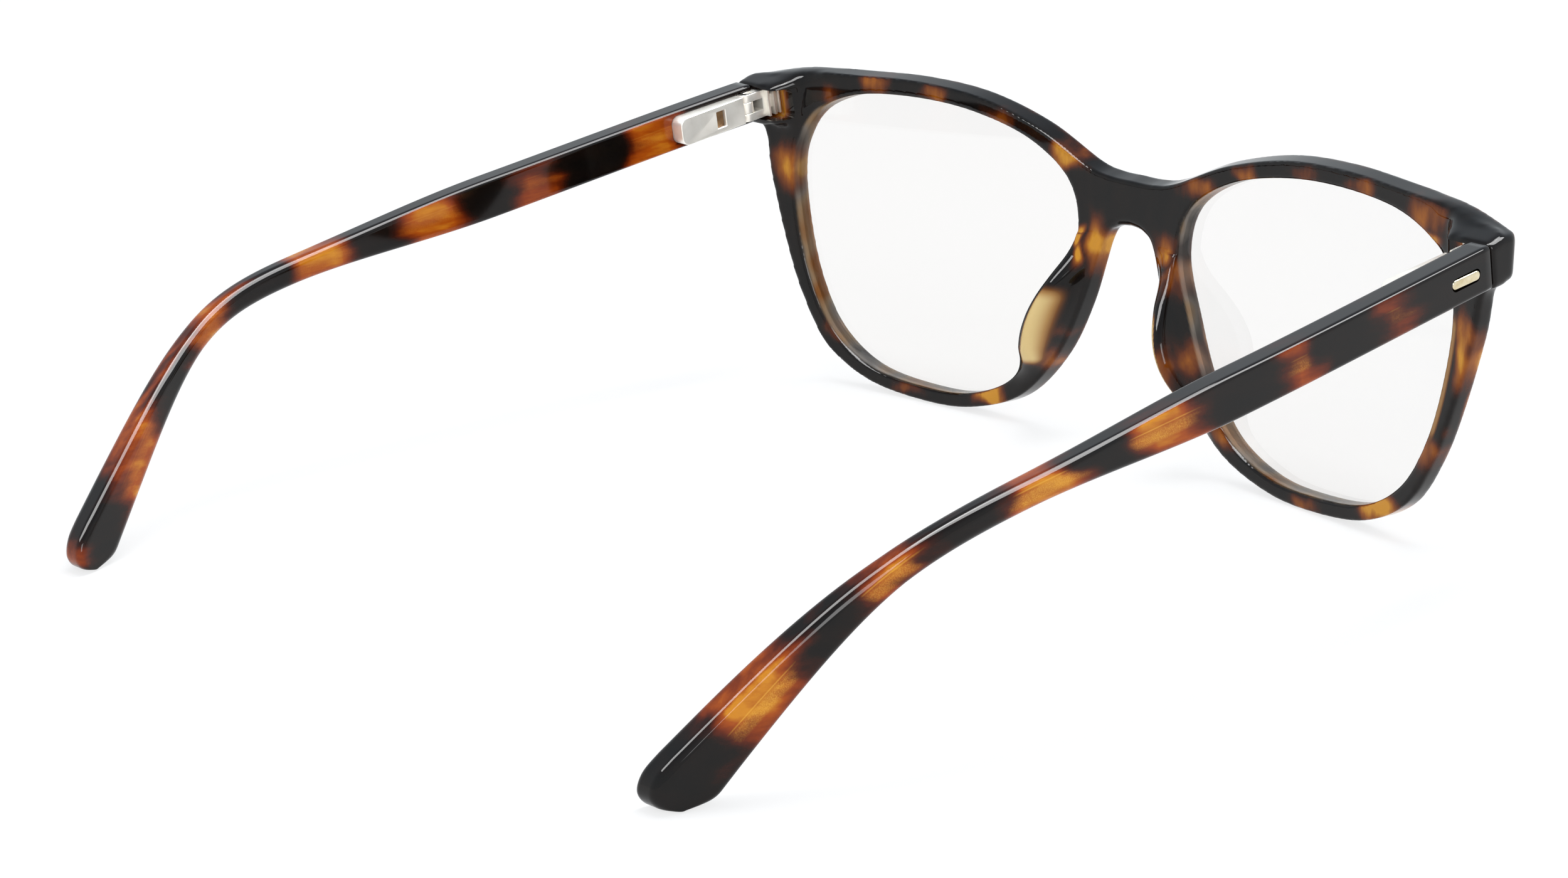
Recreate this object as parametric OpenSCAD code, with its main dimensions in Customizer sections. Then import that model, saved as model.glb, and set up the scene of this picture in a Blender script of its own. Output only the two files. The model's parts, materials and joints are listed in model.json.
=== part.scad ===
// Full-rim acetate eyeglasses frame with spring hinges.
// Millimetres. The glasses rest on their rims and temple tips, with the wearer's left at +X,
// the front facing -Y and the temples running back along +Y.

/* [Front] */
// Width of the lens opening
lens_w = 52.3; // [44:0.1:60]
// Height of the lens opening
lens_h = 41.2; // [32:0.1:48]
// Distance between the two lens openings
bridge_gap = 18.8; // [16:0.1:24]
// Height of the bridge bar
bridge_h = 6.8; // [5:0.1:9]
// How far the bridge's top lies below the top of the lens openings
bridge_drop = 5.2; // [3:0.1:9]
// Width of the rim above the lens
rim_top = 2.8; // [2:0.1:5]
// Width of the rim beside the lens, below the endpiece
rim_outer = 4.2; // [3:0.1:6]
// Width of the rim below the lens
rim_bottom = 2.0; // [1.6:0.1:5]
// Width of the rim beside the nose
rim_nasal = 4.6; // [3:0.1:6]
// Thickness of the front from its face to its back
front_t = 3.2; // [3:0.1:5]
// Radius of the front's sideways curve
front_r = 330; // [200:1:600]
// Lean of the front against the temples, in degrees
front_lean = 11; // [4:0.5:14]

/* [Endpieces] */
// How far an endpiece reaches out beside the rim
endpiece_out = 4.6; // [3.8:0.1:8]
// Height of an endpiece
endpiece_h = 6.0; // [5.6:0.1:8]
// Length of an endpiece along the front, from its outer face
endpiece_len = 9.5; // [8.5:0.1:11]
// Distance from the front's back at its middle to the joint with the temple
seam_y = 9.8; // [9.2:0.1:12]
// Gap between endpiece and temple
seam_gap = 0.12; // [0.05:0.01:0.4]

/* [Lenses] */
// Thickness of a lens
lens_t = 1.2; // [1:0.1:1.4]
// Depth of the lens below the back of the rim
lens_set = 1.2; // [0.8:0.1:1.3]
// Depth of the groove that holds the lens
groove_depth = 0.7; // [0.4:0.05:1]
// Clearance all round the lens in its groove
lens_play = 0.05; // [0.02:0.01:0.1]

/* [Nose pads] */
// Distance from the top of the lens opening down to the top of the pad
pad_top = 17.5; // [14:0.1:20]
// Length of the pad along the nose
pad_len = 15.7; // [12:0.1:18]
// How far the pads stand back from the rims
pad_reach = 5.9; // [4:0.1:8]
// Radius of the pad's rounded ridge
pad_r = 1.4; // [1:0.1:2]
// Gap for the bond between pad and rim
pad_bond = 0.02; // [0.01:0.01:0.05]

/* [Temples] */
// Length from the endpiece joint to the middle of the ear bend
straight_len = 97.5; // [88:0.5:110]
// Level length from the middle of the bend to the tip
hook_len = 29.8; // [26:0.1:36]
// Slope of the hook down from the straight part, in degrees
hook_slope = 39.5; // [30:0.5:42]
// Angle by which the hook turns in towards the head
hook_turn = 19.5; // [8:0.5:22]
// Softness of the bend down
bend_soft = 6; // [4:0.5:8]
// Softness of the turn inwards
turn_soft = 4.5; // [3:0.5:8]
// How far the turn inwards starts ahead of the bend down
turn_lead = 6; // [0:0.5:10]
// How far the straight part bows outwards
temple_bow = 1.9; // [0:0.1:4]
// How far the straight part sags behind the hinge
temple_sag = 0.45; // [0:0.05:1]
// Height of the temple at the hinge
temple_h = 5.7; // [5.5:0.1:8]
// Height of the temple at the bend
bend_h = 3.4; // [3.2:0.1:6]
// Height of the temple at the tip
tip_h = 8.1; // [6:0.1:9]
// Thickness of the temple at the hinge
temple_t = 3.5; // [3.5:0.1:5]
// Thickness of the temple at the tip
tip_t = 2.8; // [2.4:0.1:4]
// Distance from the temple's top edge at the hinge down to the flat end of its tip
tip_floor = 27.2; // [22:0.1:32]
// Radius of the tip's corners
tip_r = 1.9; // [1:0.1:2.4]

/* [Core wire] */
// Height of the flat head of the core wire, next to the hinge box
core_head_h = 2.6; // [2:0.1:3]
// Length of that head
core_head_len = 9; // [5:0.5:14]
// Height of the core wire behind its head
core_h = 1.4; // [0.8:0.1:1.8]
// Thickness of the core wire
core_t = 1.0; // [0.6:0.1:1.4]
// Distance from the end of the core wire to the temple's tip
core_stop = 8; // [6:0.5:30]
// Clearance of the core wire in its channel
core_play = 0.05; // [0.02:0.01:0.1]

/* [Inlay] */
// Length of the pill-shaped inlay
inlay_len = 5.2; // [3:0.1:8]
// Height of the inlay
inlay_h = 1.36; // [0.8:0.02:2]
// Depth of its seat in the temple
inlay_seat = 0.9; // [0.4:0.1:1]
// How far the inlay stands proud of the temple
inlay_proud = 0.3; // [0.1:0.05:0.5]
// Distance from the front of the temple to the inlay
inlay_from = 2.4; // [1.5:0.1:6]
// Clearance of the inlay in its seat
inlay_play = 0.05; // [0.02:0.01:0.1]

/* [Hinges] */
// Height of the hinge box and of the yoke
hinge_h = 4.0; // [3.6:0.1:4.4]
// Length of the hinge box
box_len = 11.8; // [11.6:0.1:14]
// Thickness of the hinge box
box_t = 3.0; // [2.8:0.1:3.2]
// How far the hinge box stands proud of the temple's inner face
box_proud = 1.4; // [0.8:0.1:1.6]
// Wall of the hinge box
box_wall = 0.55; // [0.4:0.05:0.6]
// Radius of the box's rear corners
box_r = 1.2; // [0.6:0.1:1.8]
// Length of the small window in the box's face
window_len = 1.6; // [1:0.1:2]
// Height of that window
window_h = 2.4; // [1:0.1:2.6]
// Thickness of the yoke's arms across the temple
yoke_t = 2.2; // [2:0.1:2.4]
// Height of one yoke arm
arm_h = 1.15; // [1:0.05:1.2]
// Distance from the joint with the temple back to the hinge screw
pin_back = 1.6; // [1.4:0.1:2]
// Length of the yoke's closed end
web_len = 1.2; // [0.8:0.1:1.4]
// Diameter of the hinge screw
screw_d = 1.2; // [1:0.05:1.3]
// Diameter of its head
screw_head_d = 1.9; // [1.7:0.05:2]
// Height of its head
screw_head_h = 0.45; // [0.3:0.05:0.5]
// Radial clearance round the screw and of the sliding tongue
hinge_play = 0.05; // [0.02:0.01:0.08]
// Clearance of the hinge box in its seat
box_play = 0.05; // [0.02:0.01:0.1]

/* [Spring] */
// Travel of the hinge box along its tongue
spring_travel = 1.2; // [0.6:0.1:1.2]
// Diameter of the pull rod
rod_d = 0.8; // [0.6:0.05:0.9]
// Diameter of the rod's cap
cap_d = 1.7; // [1.5:0.05:1.75]
// Length of the rod's cap
cap_len = 0.7; // [0.4:0.1:1]
// Length of the coil spring at rest
spring_len = 4.2; // [3.6:0.1:4.4]
// Diameter of the spring's wire
wire_d = 0.3; // [0.2:0.05:0.3]
// Number of turns of the spring
spring_turns = 7; // [4:1:9]

/* [Hidden] */
$fn = 64;
round_fine = 360;
cut = 1;

acetate_color = "#6b3a16";
lens_color = "#e8eef0";
steel_color = "#c9c9c6";
gold_color = "#d9c48a";

// Places on the front, in the leaning plane of the front: x across, s up, y back from its middle
eye_x = bridge_gap / 2;
eye_top = -0.35;
bridge_top = eye_top - bridge_drop;
bridge_low = bridge_top - bridge_h;
half_w = eye_x + lens_w + rim_outer + endpiece_out;
corner = 0.8;
end_top = -0.7;
end_low = end_top - endpiece_h;
curve_steps = 5;

// Outline of the lens opening: shares of its width from the nose and of its height from the top
eye_shape = [[1, 0.344], [0.986, 0.21], [0.922, 0.096], [0.787, 0.023], [0.58, 0], [0.375, 0.015],
    [0.176, 0.074], [0.036, 0.186], [0, 0.351], [0.05, 0.55], [0.115, 0.735], [0.214, 0.898],
    [0.36, 0.983], [0.519, 1], [0.71, 0.973], [0.844, 0.878], [0.921, 0.735], [0.97, 0.563]];
eye_count = len(eye_shape);

function mix(a, b, t) = a + (b - a) * t;
function unit(v) = v / norm(v);

// One point of a smooth curve that runs through its control points
function smooth_point(a, b, c, d, t) =
    0.5 * (2 * b + (c - a) * t + (2 * a - 5 * b + 4 * c - d) * t * t
    + (3 * b - a - 3 * c + d) * t * t * t);
function smooth_loop(p) = let (n = len(p)) [for (i = [0:n - 1]) for (k = [0:curve_steps - 1])
    smooth_point(p[(i + n - 1) % n], p[i], p[(i + 1) % n], p[(i + 2) % n], k / curve_steps)];
function smooth_line(p) = let (n = len(p) - 1) [for (i = [0:n - 1]) for (k = [0:curve_steps - 1])
    smooth_point(p[max(i - 1, 0)], p[i], p[i + 1], p[min(i + 2, n)], k / curve_steps), p[n]];
function arc(c, r, from, to, steps = 6) =
    [for (k = [0:steps]) let (a = mix(from, to, k / steps)) c + r * [cos(a), sin(a)]];

// Control point of the lens opening, moved outwards by some width
function eye_raw(i) = let (e = eye_shape[(i + eye_count) % eye_count])
    [eye_x + lens_w * e[0], eye_top - lens_h * e[1]];
function eye_normal(i) = let (d = unit(eye_raw(i + 1) - eye_raw(i - 1))) [d[1], -d[0]];
function eye_point(i, grow) = eye_raw(i) + grow * eye_normal(i);
function eye_outline(grow) = smooth_loop([for (i = [0:eye_count - 1]) eye_point(i, grow)]);

// Half outline of the front, from the bridge over the brow to the endpiece and round below
bridge_flat = [4, 0.05];
bridge_shoulder = [8.2, 0.9];
bridge_foot = [2.7, 0.5];
brow_end = [9, 1.9];
end_notch = [3.4, 2.1];
brow = smooth_line([[0, bridge_top], [bridge_flat[0], bridge_top + bridge_flat[1]],
    [bridge_shoulder[0], bridge_top + bridge_shoulder[1]],
    eye_point(6, rim_top), eye_point(5, rim_top), eye_point(4, rim_top),
    eye_point(3, mix(rim_top, rim_outer, 0.35)), [half_w - brow_end[0], end_top + brow_end[1]],
    [half_w - corner, end_top]]);
end_face = [[half_w, end_top - corner], [half_w, end_low + corner]];
rim_mix = [[17, mix(rim_outer, rim_bottom, 0.6)], [16, mix(rim_outer, rim_bottom, 0.8)],
    [15, mix(rim_outer, rim_bottom, 0.85)], [14, rim_bottom], [13, rim_bottom], [12, rim_bottom],
    [11, mix(rim_bottom, rim_nasal, 0.25)], [10, mix(rim_bottom, rim_nasal, 0.65)],
    [9, mix(rim_bottom, rim_nasal, 0.85)], [8, rim_nasal]];
under_end = [half_w - end_notch[0], end_low - end_notch[1]];
under_bridge = [bridge_foot[0], bridge_low - bridge_foot[1]];
lower_rim = smooth_line(concat([[half_w - corner, end_low], under_end, eye_point(0, rim_outer)],
    [for (r = rim_mix) eye_point(r[0], r[1])], [under_bridge, [0, bridge_low]]));
half_front = concat(brow, end_face, lower_rim);
front_count = len(half_front);
front_outline = concat(half_front,
    [for (i = [front_count - 2:-1:1]) [-half_front[i][0], half_front[i][1]]]);
rim_low = min([for (p = front_outline) p[1]]);
layer_low = rim_low - rim_nasal;
layer_h = lens_h + 4 * rim_nasal;
rim_low_x = abs([for (p = front_outline) if (p[1] == rim_low) p[0]][0]);

// Places at the temple, in the frame of the temples: y back from the front, z up from its top edge
temple_step = 0.1;
temple_x = half_w - temple_step;
temple_y = seam_y + seam_gap;
temple_top = 0.25;
temple_mid = temple_top - temple_h / 2;
bend_y = temple_y + straight_len;
turn_y = bend_y - turn_lead;
tip_y = bend_y + hook_len;
floor_z = temple_top - tip_floor;
bow_len = 75;
sag_len = 50;
taper_from = 46;
taper_y = temple_y + taper_from;
taper_len = 34;
tip_power = 1.3;
temple_steps = 40;

function share(y, from, length) = min(1, max(0, (y - from) / length));
function ease(t) = t * t * (3 - 2 * t);
// Distance run past a place, with a soft start; and the share of full slope reached there
function soft_run(y, at, soft) = soft * ln(1 + exp((y - at) / soft));
function soft_slope(y, at, soft) = 1 / (1 + exp((at - y) / soft));
function middle_z(y) = temple_mid - temple_sag * ease(share(y, temple_y, sag_len))
    - tan(hook_slope) * soft_run(y, bend_y, bend_soft);
function slope(y) = tan(hook_slope) * soft_slope(y, bend_y, bend_soft);
function height_at(y) = mix(temple_h, bend_h, ease(share(y, taper_y, taper_len)))
    + (tip_h - bend_h) * pow(share(y, bend_y, hook_len), tip_power);
function half_h(y) = height_at(y) * norm([1, slope(y)]) / 2;
function outer_x(y) = temple_x + temple_bow * (1 - pow(1 - share(y, temple_y, bow_len), 2))
    - tan(hook_turn) * soft_run(y, turn_y, turn_soft);
function thick_at(y) = mix(temple_t, tip_t, (y - temple_y) / (tip_y - temple_y));
function stations(from, to) = [for (k = [0:temple_steps]) mix(from, to, k / temple_steps)];

// Outline of the temple from the side, with its tip cut level and its corners rounded
tip_back = [tip_y - tip_r, floor_z + tip_r];
tip_flat = 5.2;
top_edge_stop = 3;
low_edge_stop = 8.4;
low_edge_end = tip_y - low_edge_stop;
tip_front = [tip_y - tip_flat, floor_z + tip_r];
temple_side = concat([for (y = stations(temple_y, tip_y - top_edge_stop)) [y, middle_z(y) + half_h(y)]],
    arc(tip_back, tip_r, 55, -90), arc(tip_front, tip_r, -90, -128),
    [for (y = stations(low_edge_end, temple_y)) [y, middle_z(y) - half_h(y)]]);
temple_plan = concat([for (y = stations(temple_y, tip_y)) [outer_x(y), y]],
    [for (y = stations(tip_y, temple_y)) [outer_x(y) - thick_at(y), y]]);

side_from = outer_x(tip_y) - temple_t - cut;
side_to = temple_x + temple_bow + cut;

// Places of the hinge
hinge_z = temple_mid;
inner_x = temple_x - temple_t;
box_x = inner_x - box_proud;
pin_y = temple_y + pin_back;
arm_r = yoke_t / 2;
yoke_inset = 0.1;
pin_x = box_x + yoke_inset + arm_r;
tongue_h = hinge_h - 2 * arm_h - 2 * hinge_play;
box_gap = 0.15;
box_y = pin_y + arm_r + box_gap;
box_end = box_y + box_len;
cave_t = box_t - 2 * box_wall;
cave_rail = 0.15;
cave_h = hinge_h - 2 * box_wall - 2 * cave_rail;
cave_x = box_x + box_wall;
end_play = 0.1;
carriage_y = box_y + box_wall + spring_travel + end_play;
carriage_len = 1.7;
stop_y = carriage_y + carriage_len + end_play;
stop_len = 1.5;
spring_y = stop_y + stop_len;
cap_y = spring_y + spring_len;
cave_end = cap_y + cap_len + 2 * end_play;
rod_x = cave_x + cave_t / 2;
pocket_room = 0.3;
pocket_depth = 3.4;
pocket_side = 2.1;
pocket_wall = 1.9;
pocket_y = seam_y - pocket_depth;
seat_gap = 0.05;
plate_t = 0.35;
plate_gap = 0.45;
plate_side = 0.7;
stem_t = 2.0;
stem_h = 2.0;
arm_window = 1.2;
slot_w = 0.3;
slot_depth = 0.2;
join = 0.1;

// Outline of the hinge box from the side, with some clearance
function box_outline(c) = concat([[box_y - c, hinge_z + hinge_h / 2 + c]],
    arc([box_end - box_r, hinge_z + hinge_h / 2 - box_r], box_r + c, 90, 0),
    arc([box_end - box_r, hinge_z - hinge_h / 2 + box_r], box_r + c, 0, -90),
    [[box_y - c, hinge_z - hinge_h / 2 - c]]);

// Half outline of the core wire from the side: a flat head that necks down to a thin rod
core_y = box_end + box_play;
core_end = tip_y - core_stop;
neck_len = 3;
function core_half(y) = mix(core_head_h, core_h, ease(share(y, core_y + core_head_len, neck_len))) / 2;
function core_rise(y, c) = (core_half(y) + c) * norm([1, slope(y)]);
function core_side(c) = concat(
    [for (y = stations(core_y - c, core_end + c)) [y, middle_z(y) + core_rise(y, c)]],
    [for (y = stations(core_end + c, core_y - c)) [y, middle_z(y) - core_rise(y, c)]]);
function core_middle(y) = outer_x(y) - thick_at(y) / 2;
function core_plan(c) = concat(
    [for (y = stations(core_y - c, core_end + c)) [core_middle(y) + core_t / 2 + c, y]],
    [for (y = stations(core_end + c, core_y - c)) [core_middle(y) - core_t / 2 - c, y]]);

// Rest on the ground: tilt about X until the rims' lowest edge and the tips' lowest edge are level
function lean(y, s) = [y * cos(front_lean) - s * sin(front_lean),
    y * sin(front_lean) + s * cos(front_lean)];
function back_y(x) = front_r - sqrt(front_r * front_r - x * x);
rim_foot = lean(back_y(rim_low_x) - front_t, rim_low);
tip_foot = [tip_y - tip_r, floor_z];
rest_tilt = atan2(tip_foot[1] - rim_foot[1], tip_foot[0] - rim_foot[0]);
function rest_y(p) = p[0] * cos(rest_tilt) + p[1] * sin(rest_tilt);
function rest_z(p) = p[1] * cos(rest_tilt) - p[0] * sin(rest_tilt);
face_y = rest_y(lean(-front_t, bridge_top));
rear_y = rest_y(tip_back) + tip_r;
ground = min(rest_z(rim_foot), rest_z(tip_back) - tip_r);

module resting() {
    translate([0, -(face_y + rear_y) / 2, -ground]) rotate([-rest_tilt, 0, 0]) children();
}

module right_side() { mirror([1, 0, 0]) children(); }

module leaning() { rotate([front_lean, 0, 0]) children(); }

// A flat outline drawn in x and s, pushed straight through the front
module through_front(outline) {
    back = back_y(half_w) + cut;
    translate([0, back, 0]) rotate([90, 0, 0]) linear_extrude(back + front_t + cut) polygon(outline);
}

// Everything between two depths below the curved back of the front
module curved_layer(from, to) {
    translate([0, front_r, layer_low]) difference() {
        cylinder(r = front_r + to, h = layer_h, $fn = round_fine);
        translate([0, 0, -cut]) cylinder(r = front_r + from, h = layer_h + 2 * cut, $fn = round_fine);
    }
}

module side_extrude(outline, from, to) {
    translate([from, 0, 0]) rotate([90, 0, 90]) linear_extrude(to - from) polygon(outline);
}

module from_above(outline) {
    translate([0, 0, floor_z - cut]) linear_extrude(tip_floor + 2 * cut) polygon(outline);
}

module block(x, y, z) { translate([x[0], y[0], z[0]]) cube([x[1] - x[0], y[1] - y[0], z[1] - z[0]]); }

module upright(x, y, r, from, to) { translate([x, y, from]) cylinder(r = r, h = to - from); }

module rod_along(y, r) {
    translate([rod_x, y[0], hinge_z]) rotate([-90, 0, 0]) cylinder(r = r, h = y[1] - y[0]);
}

// The front: rims, bridge and endpieces, with lens grooves and hinge pockets
module lens_cut() {
    through_front(eye_outline(0));
    intersection() {
        through_front(eye_outline(groove_depth));
        curved_layer(lens_set - lens_play, lens_set + lens_t + lens_play);
    }
}

endpiece_slope = 2;
endpiece_sunk = 2.2;

module endpiece() {
    root = half_w - endpiece_len;
    translate([0, 0, temple_top - endpiece_h]) linear_extrude(endpiece_h) polygon([
        [root - endpiece_slope / 2, back_y(root) - endpiece_sunk / 2],
        [root + endpiece_slope, seam_y], [half_w, seam_y],
        [half_w, back_y(half_w) - endpiece_sunk],
        [root + endpiece_slope, back_y(root) - endpiece_sunk]]);
}

module hinge_pocket() {
    block([pin_x - arm_r - pocket_side, half_w - pocket_wall], [pocket_y, seam_y + cut],
        [hinge_z - hinge_h / 2 - pocket_room, hinge_z + hinge_h / 2 + pocket_room]);
}

module front_frame() {
    color(acetate_color) resting() difference() {
        union() {
            leaning() intersection() {
                through_front(front_outline);
                curved_layer(0, front_t);
            }
            endpiece();
            right_side() endpiece();
        }
        leaning() lens_cut();
        leaning() right_side() lens_cut();
        hinge_pocket();
        right_side() hinge_pocket();
    }
}

// Lens, with its edge in the groove
module lens() {
    color(lens_color) leaning() intersection() {
        through_front(eye_outline(groove_depth - lens_play));
        curved_layer(lens_set, lens_set + lens_t);
    }
}

// Nose pad: a rounded lobe behind the nasal rim, trimmed to the rim's curved back
// Each ball: share of the pad's length across, of its reach back, of its length down, and of its radius
ridge = pad_reach - pad_r;
pad_balls = [[-0.115, 0.04, 0, 0.86], [-0.064, 0.07, 0.36, 1.07], [0.045, 0.45, 0.25, 1],
    [0.204, 0.92, 0.475, 1], [0.248, 1, 0.672, 1], [0.268, 0.72, 0.863, 1],
    [0.242, 0.04, 1, 0.93], [0.102, 0.07, 0.742, 1.07]];

module nose_pad() {
    color(acetate_color) leaning() intersection() {
        hull() {
            for (b = pad_balls) {
                translate([eye_x + pad_len * b[0], ridge * b[1], eye_top - pad_top - pad_len * b[2]])
                    sphere(r = pad_r * b[3], $fn = 24);
            }
        }
        translate([0, front_r, layer_low]) cylinder(r = front_r - pad_bond, h = layer_h, $fn = round_fine);
    }
}

// Front leaf of the hinge: ribbed base in the pocket, closed end and two arms
module hinge_yoke() {
    x = [pin_x - arm_r, pin_x + arm_r];
    z = [hinge_z - hinge_h / 2, hinge_z + hinge_h / 2];
    base = pocket_y + seat_gap;
    web = pin_y - arm_r - hinge_play - arm_window - web_len;
    color(steel_color) difference() {
        union() {
            block([pin_x - stem_t / 2, pin_x + stem_t / 2], [base, web + join],
                [hinge_z - stem_h / 2, hinge_z + stem_h / 2]);
            for (k = [0, 1]) {
                y = base + k * (plate_t + plate_gap);
                block([pin_x - arm_r - plate_side, pin_x + arm_r], [y, y + plate_t], z);
            }
            block(x, [web, web + web_len], z);
            for (side = [0, 1]) {
                low = z[0] + side * (hinge_h - arm_h);
                block(x, [web, pin_y], [low, low + arm_h]);
                upright(pin_x, pin_y, arm_r, low, low + arm_h);
            }
        }
        upright(pin_x, pin_y, screw_d / 2 + hinge_play / 2, z[0] - cut, z[1] + cut);
        upright(pin_x, pin_y, screw_head_d / 2 + hinge_play, z[1] - screw_head_h, z[1] + cut);
    }
}

// Hinge screw, with a slotted head let into the upper arm
module hinge_screw() {
    top = hinge_z + hinge_h / 2;
    color(steel_color) difference() {
        union() {
            upright(pin_x, pin_y, screw_d / 2, hinge_z - hinge_h / 2, top - screw_head_h);
            upright(pin_x, pin_y, screw_head_d / 2, top - screw_head_h, top);
        }
        block([pin_x - slot_w / 2, pin_x + slot_w / 2], [pin_y - screw_head_d, pin_y + screw_head_d],
            [top - slot_depth, top + cut]);
    }
}

// Tongue between the arms, with the carriage that slides in the box
module hinge_slider() {
    half_t = cave_t / 2 - hinge_play;
    z = [hinge_z - tongue_h / 2, hinge_z + tongue_h / 2];
    color(steel_color) difference() {
        union() {
            upright(pin_x, pin_y, arm_r, z[0], z[1]);
            block([rod_x - half_t, rod_x + half_t], [pin_y, carriage_y + join], z);
            block([rod_x - half_t, rod_x + half_t], [carriage_y, carriage_y + carriage_len],
                [hinge_z - cave_h / 2 + hinge_play, hinge_z + cave_h / 2 - hinge_play]);
        }
        upright(pin_x, pin_y, screw_d / 2 + hinge_play, z[0] - cut, z[1] + cut);
    }
}

// Pull rod behind the carriage, with the cap that loads the spring
module spring_rod() {
    color(steel_color) union() {
        rod_along([carriage_y + carriage_len, cap_y + join], rod_d / 2);
        rod_along([cap_y, cap_y + cap_len], cap_d / 2);
    }
}

// Coil spring round the pull rod, between stop and cap
coil_play = 0.1;
coil_r = (rod_d + wire_d) / 2 + coil_play;
coil_sides = 6;
coil_steps = 14;
function coil_ring(k) = let (a = 360 * k / coil_steps, turn = k / (spring_turns * coil_steps),
    y = mix(spring_y + wire_d, cap_y - wire_d, turn))
    [for (j = [0:coil_sides - 1]) let (b = 360 * j / coil_sides, r = coil_r + wire_d / 2 * cos(b))
        [rod_x + r * cos(a), y + wire_d / 2 * sin(b), hinge_z + r * sin(a)]];

module flex_spring() {
    rings = spring_turns * coil_steps;
    points = [for (k = [0:rings]) each coil_ring(k)];
    sides = [for (k = [0:rings - 1]) for (j = [0:coil_sides - 1])
        let (a = k * coil_sides + j, b = k * coil_sides + (j + 1) % coil_sides)
        [a, b, b + coil_sides, a + coil_sides]];
    first = [for (j = [coil_sides - 1:-1:0]) j];
    last = [for (j = [0:coil_sides - 1]) rings * coil_sides + j];
    color(steel_color) polyhedron(points, concat(sides, [first, last]));
}

// Stop that the spring bears on, fixed in the box behind its window
module spring_stop() {
    color(steel_color) difference() {
        block([cave_x, cave_x + cave_t], [stop_y, stop_y + stop_len],
            [hinge_z - cave_h / 2, hinge_z + cave_h / 2]);
        rod_along([stop_y - cut, stop_y + stop_len + cut], rod_d / 2 + hinge_play);
    }
}

// Hinge box: closed case with a slot for the tongue and a window over the stop
module hinge_box() {
    middle = stop_y + stop_len / 2;
    color(steel_color) difference() {
        side_extrude(box_outline(0), box_x, box_x + box_t);
        block([cave_x, cave_x + cave_t], [box_y + box_wall, cave_end],
            [hinge_z - cave_h / 2, hinge_z + cave_h / 2]);
        block([cave_x, cave_x + cave_t], [box_y - cut, box_y + box_wall + cut],
            [hinge_z - tongue_h / 2 - hinge_play, hinge_z + tongue_h / 2 + hinge_play]);
        block([box_x - cut, cave_x + join], [middle - window_len / 2, middle + window_len / 2],
            [hinge_z - window_h / 2, hinge_z + window_h / 2]);
    }
}

// Pill with round ends, standing out of the temple's outer face
module pill(from, to, grow) {
    y = [temple_y + inlay_from + inlay_h / 2, temple_y + inlay_from + inlay_len - inlay_h / 2];
    r = inlay_h / 2 + grow;
    block([from, to], y, [hinge_z - r, hinge_z + r]);
    for (end = y) {
        translate([from, end, hinge_z]) rotate([0, 90, 0]) cylinder(r = r, h = to - from);
    }
}

module temple_inlay() {
    color(gold_color) pill(temple_x - inlay_seat, temple_x + inlay_proud, -inlay_play);
}

module core_shape(c) {
    intersection() {
        side_extrude(core_side(c), side_from, side_to);
        from_above(core_plan(c));
    }
}

// Core wire inside the temple
module temple_core() {
    color(gold_color) core_shape(0);
}

// Temple: side outline and plan outline together, less the seats for box, wire and inlay
module temple() {
    color(acetate_color) difference() {
        intersection() {
            side_extrude(temple_side, side_from, side_to);
            from_above(temple_plan);
        }
        side_extrude(box_outline(box_play), box_x - cut, box_x + box_t + box_play);
        block([box_x - cut, box_x + box_t + box_play], [temple_y - cut, box_y + cut],
            [hinge_z - hinge_h / 2 - pocket_room, hinge_z + hinge_h / 2 + pocket_room]);
        core_shape(core_play);
        pill(temple_x - inlay_seat - inlay_play, side_to, 0);
    }
}

module on_left() { resting() children(); }

module on_right() { resting() right_side() children(); }

front_frame();
on_left() lens();  // lens_left
on_right() lens();  // lens_right
on_left() nose_pad();  // nose_pad_left
on_right() nose_pad();  // nose_pad_right
on_left() hinge_yoke();  // hinge_yoke_left
on_right() hinge_yoke();  // hinge_yoke_right
on_left() hinge_screw();  // hinge_screw_left
on_right() hinge_screw();  // hinge_screw_right
on_left() hinge_slider();  // hinge_slider_left
on_right() hinge_slider();  // hinge_slider_right
on_left() spring_rod();  // spring_rod_left
on_right() spring_rod();  // spring_rod_right
on_left() flex_spring();  // flex_spring_left
on_right() flex_spring();  // flex_spring_right
on_left() spring_stop();  // spring_stop_left
on_right() spring_stop();  // spring_stop_right
on_left() hinge_box();  // hinge_box_left
on_right() hinge_box();  // hinge_box_right
on_left() temple();  // temple_left
on_right() temple();  // temple_right
on_left() temple_core();  // temple_core_left
on_right() temple_core();  // temple_core_right
on_left() temple_inlay();  // temple_inlay_left
on_right() temple_inlay();  // temple_inlay_right
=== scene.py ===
import json
import math

import bmesh
import bpy
from mathutils import Matrix, Vector, noise
from mathutils.bvhtree import BVHTree
from mathutils.kdtree import KDTree


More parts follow.
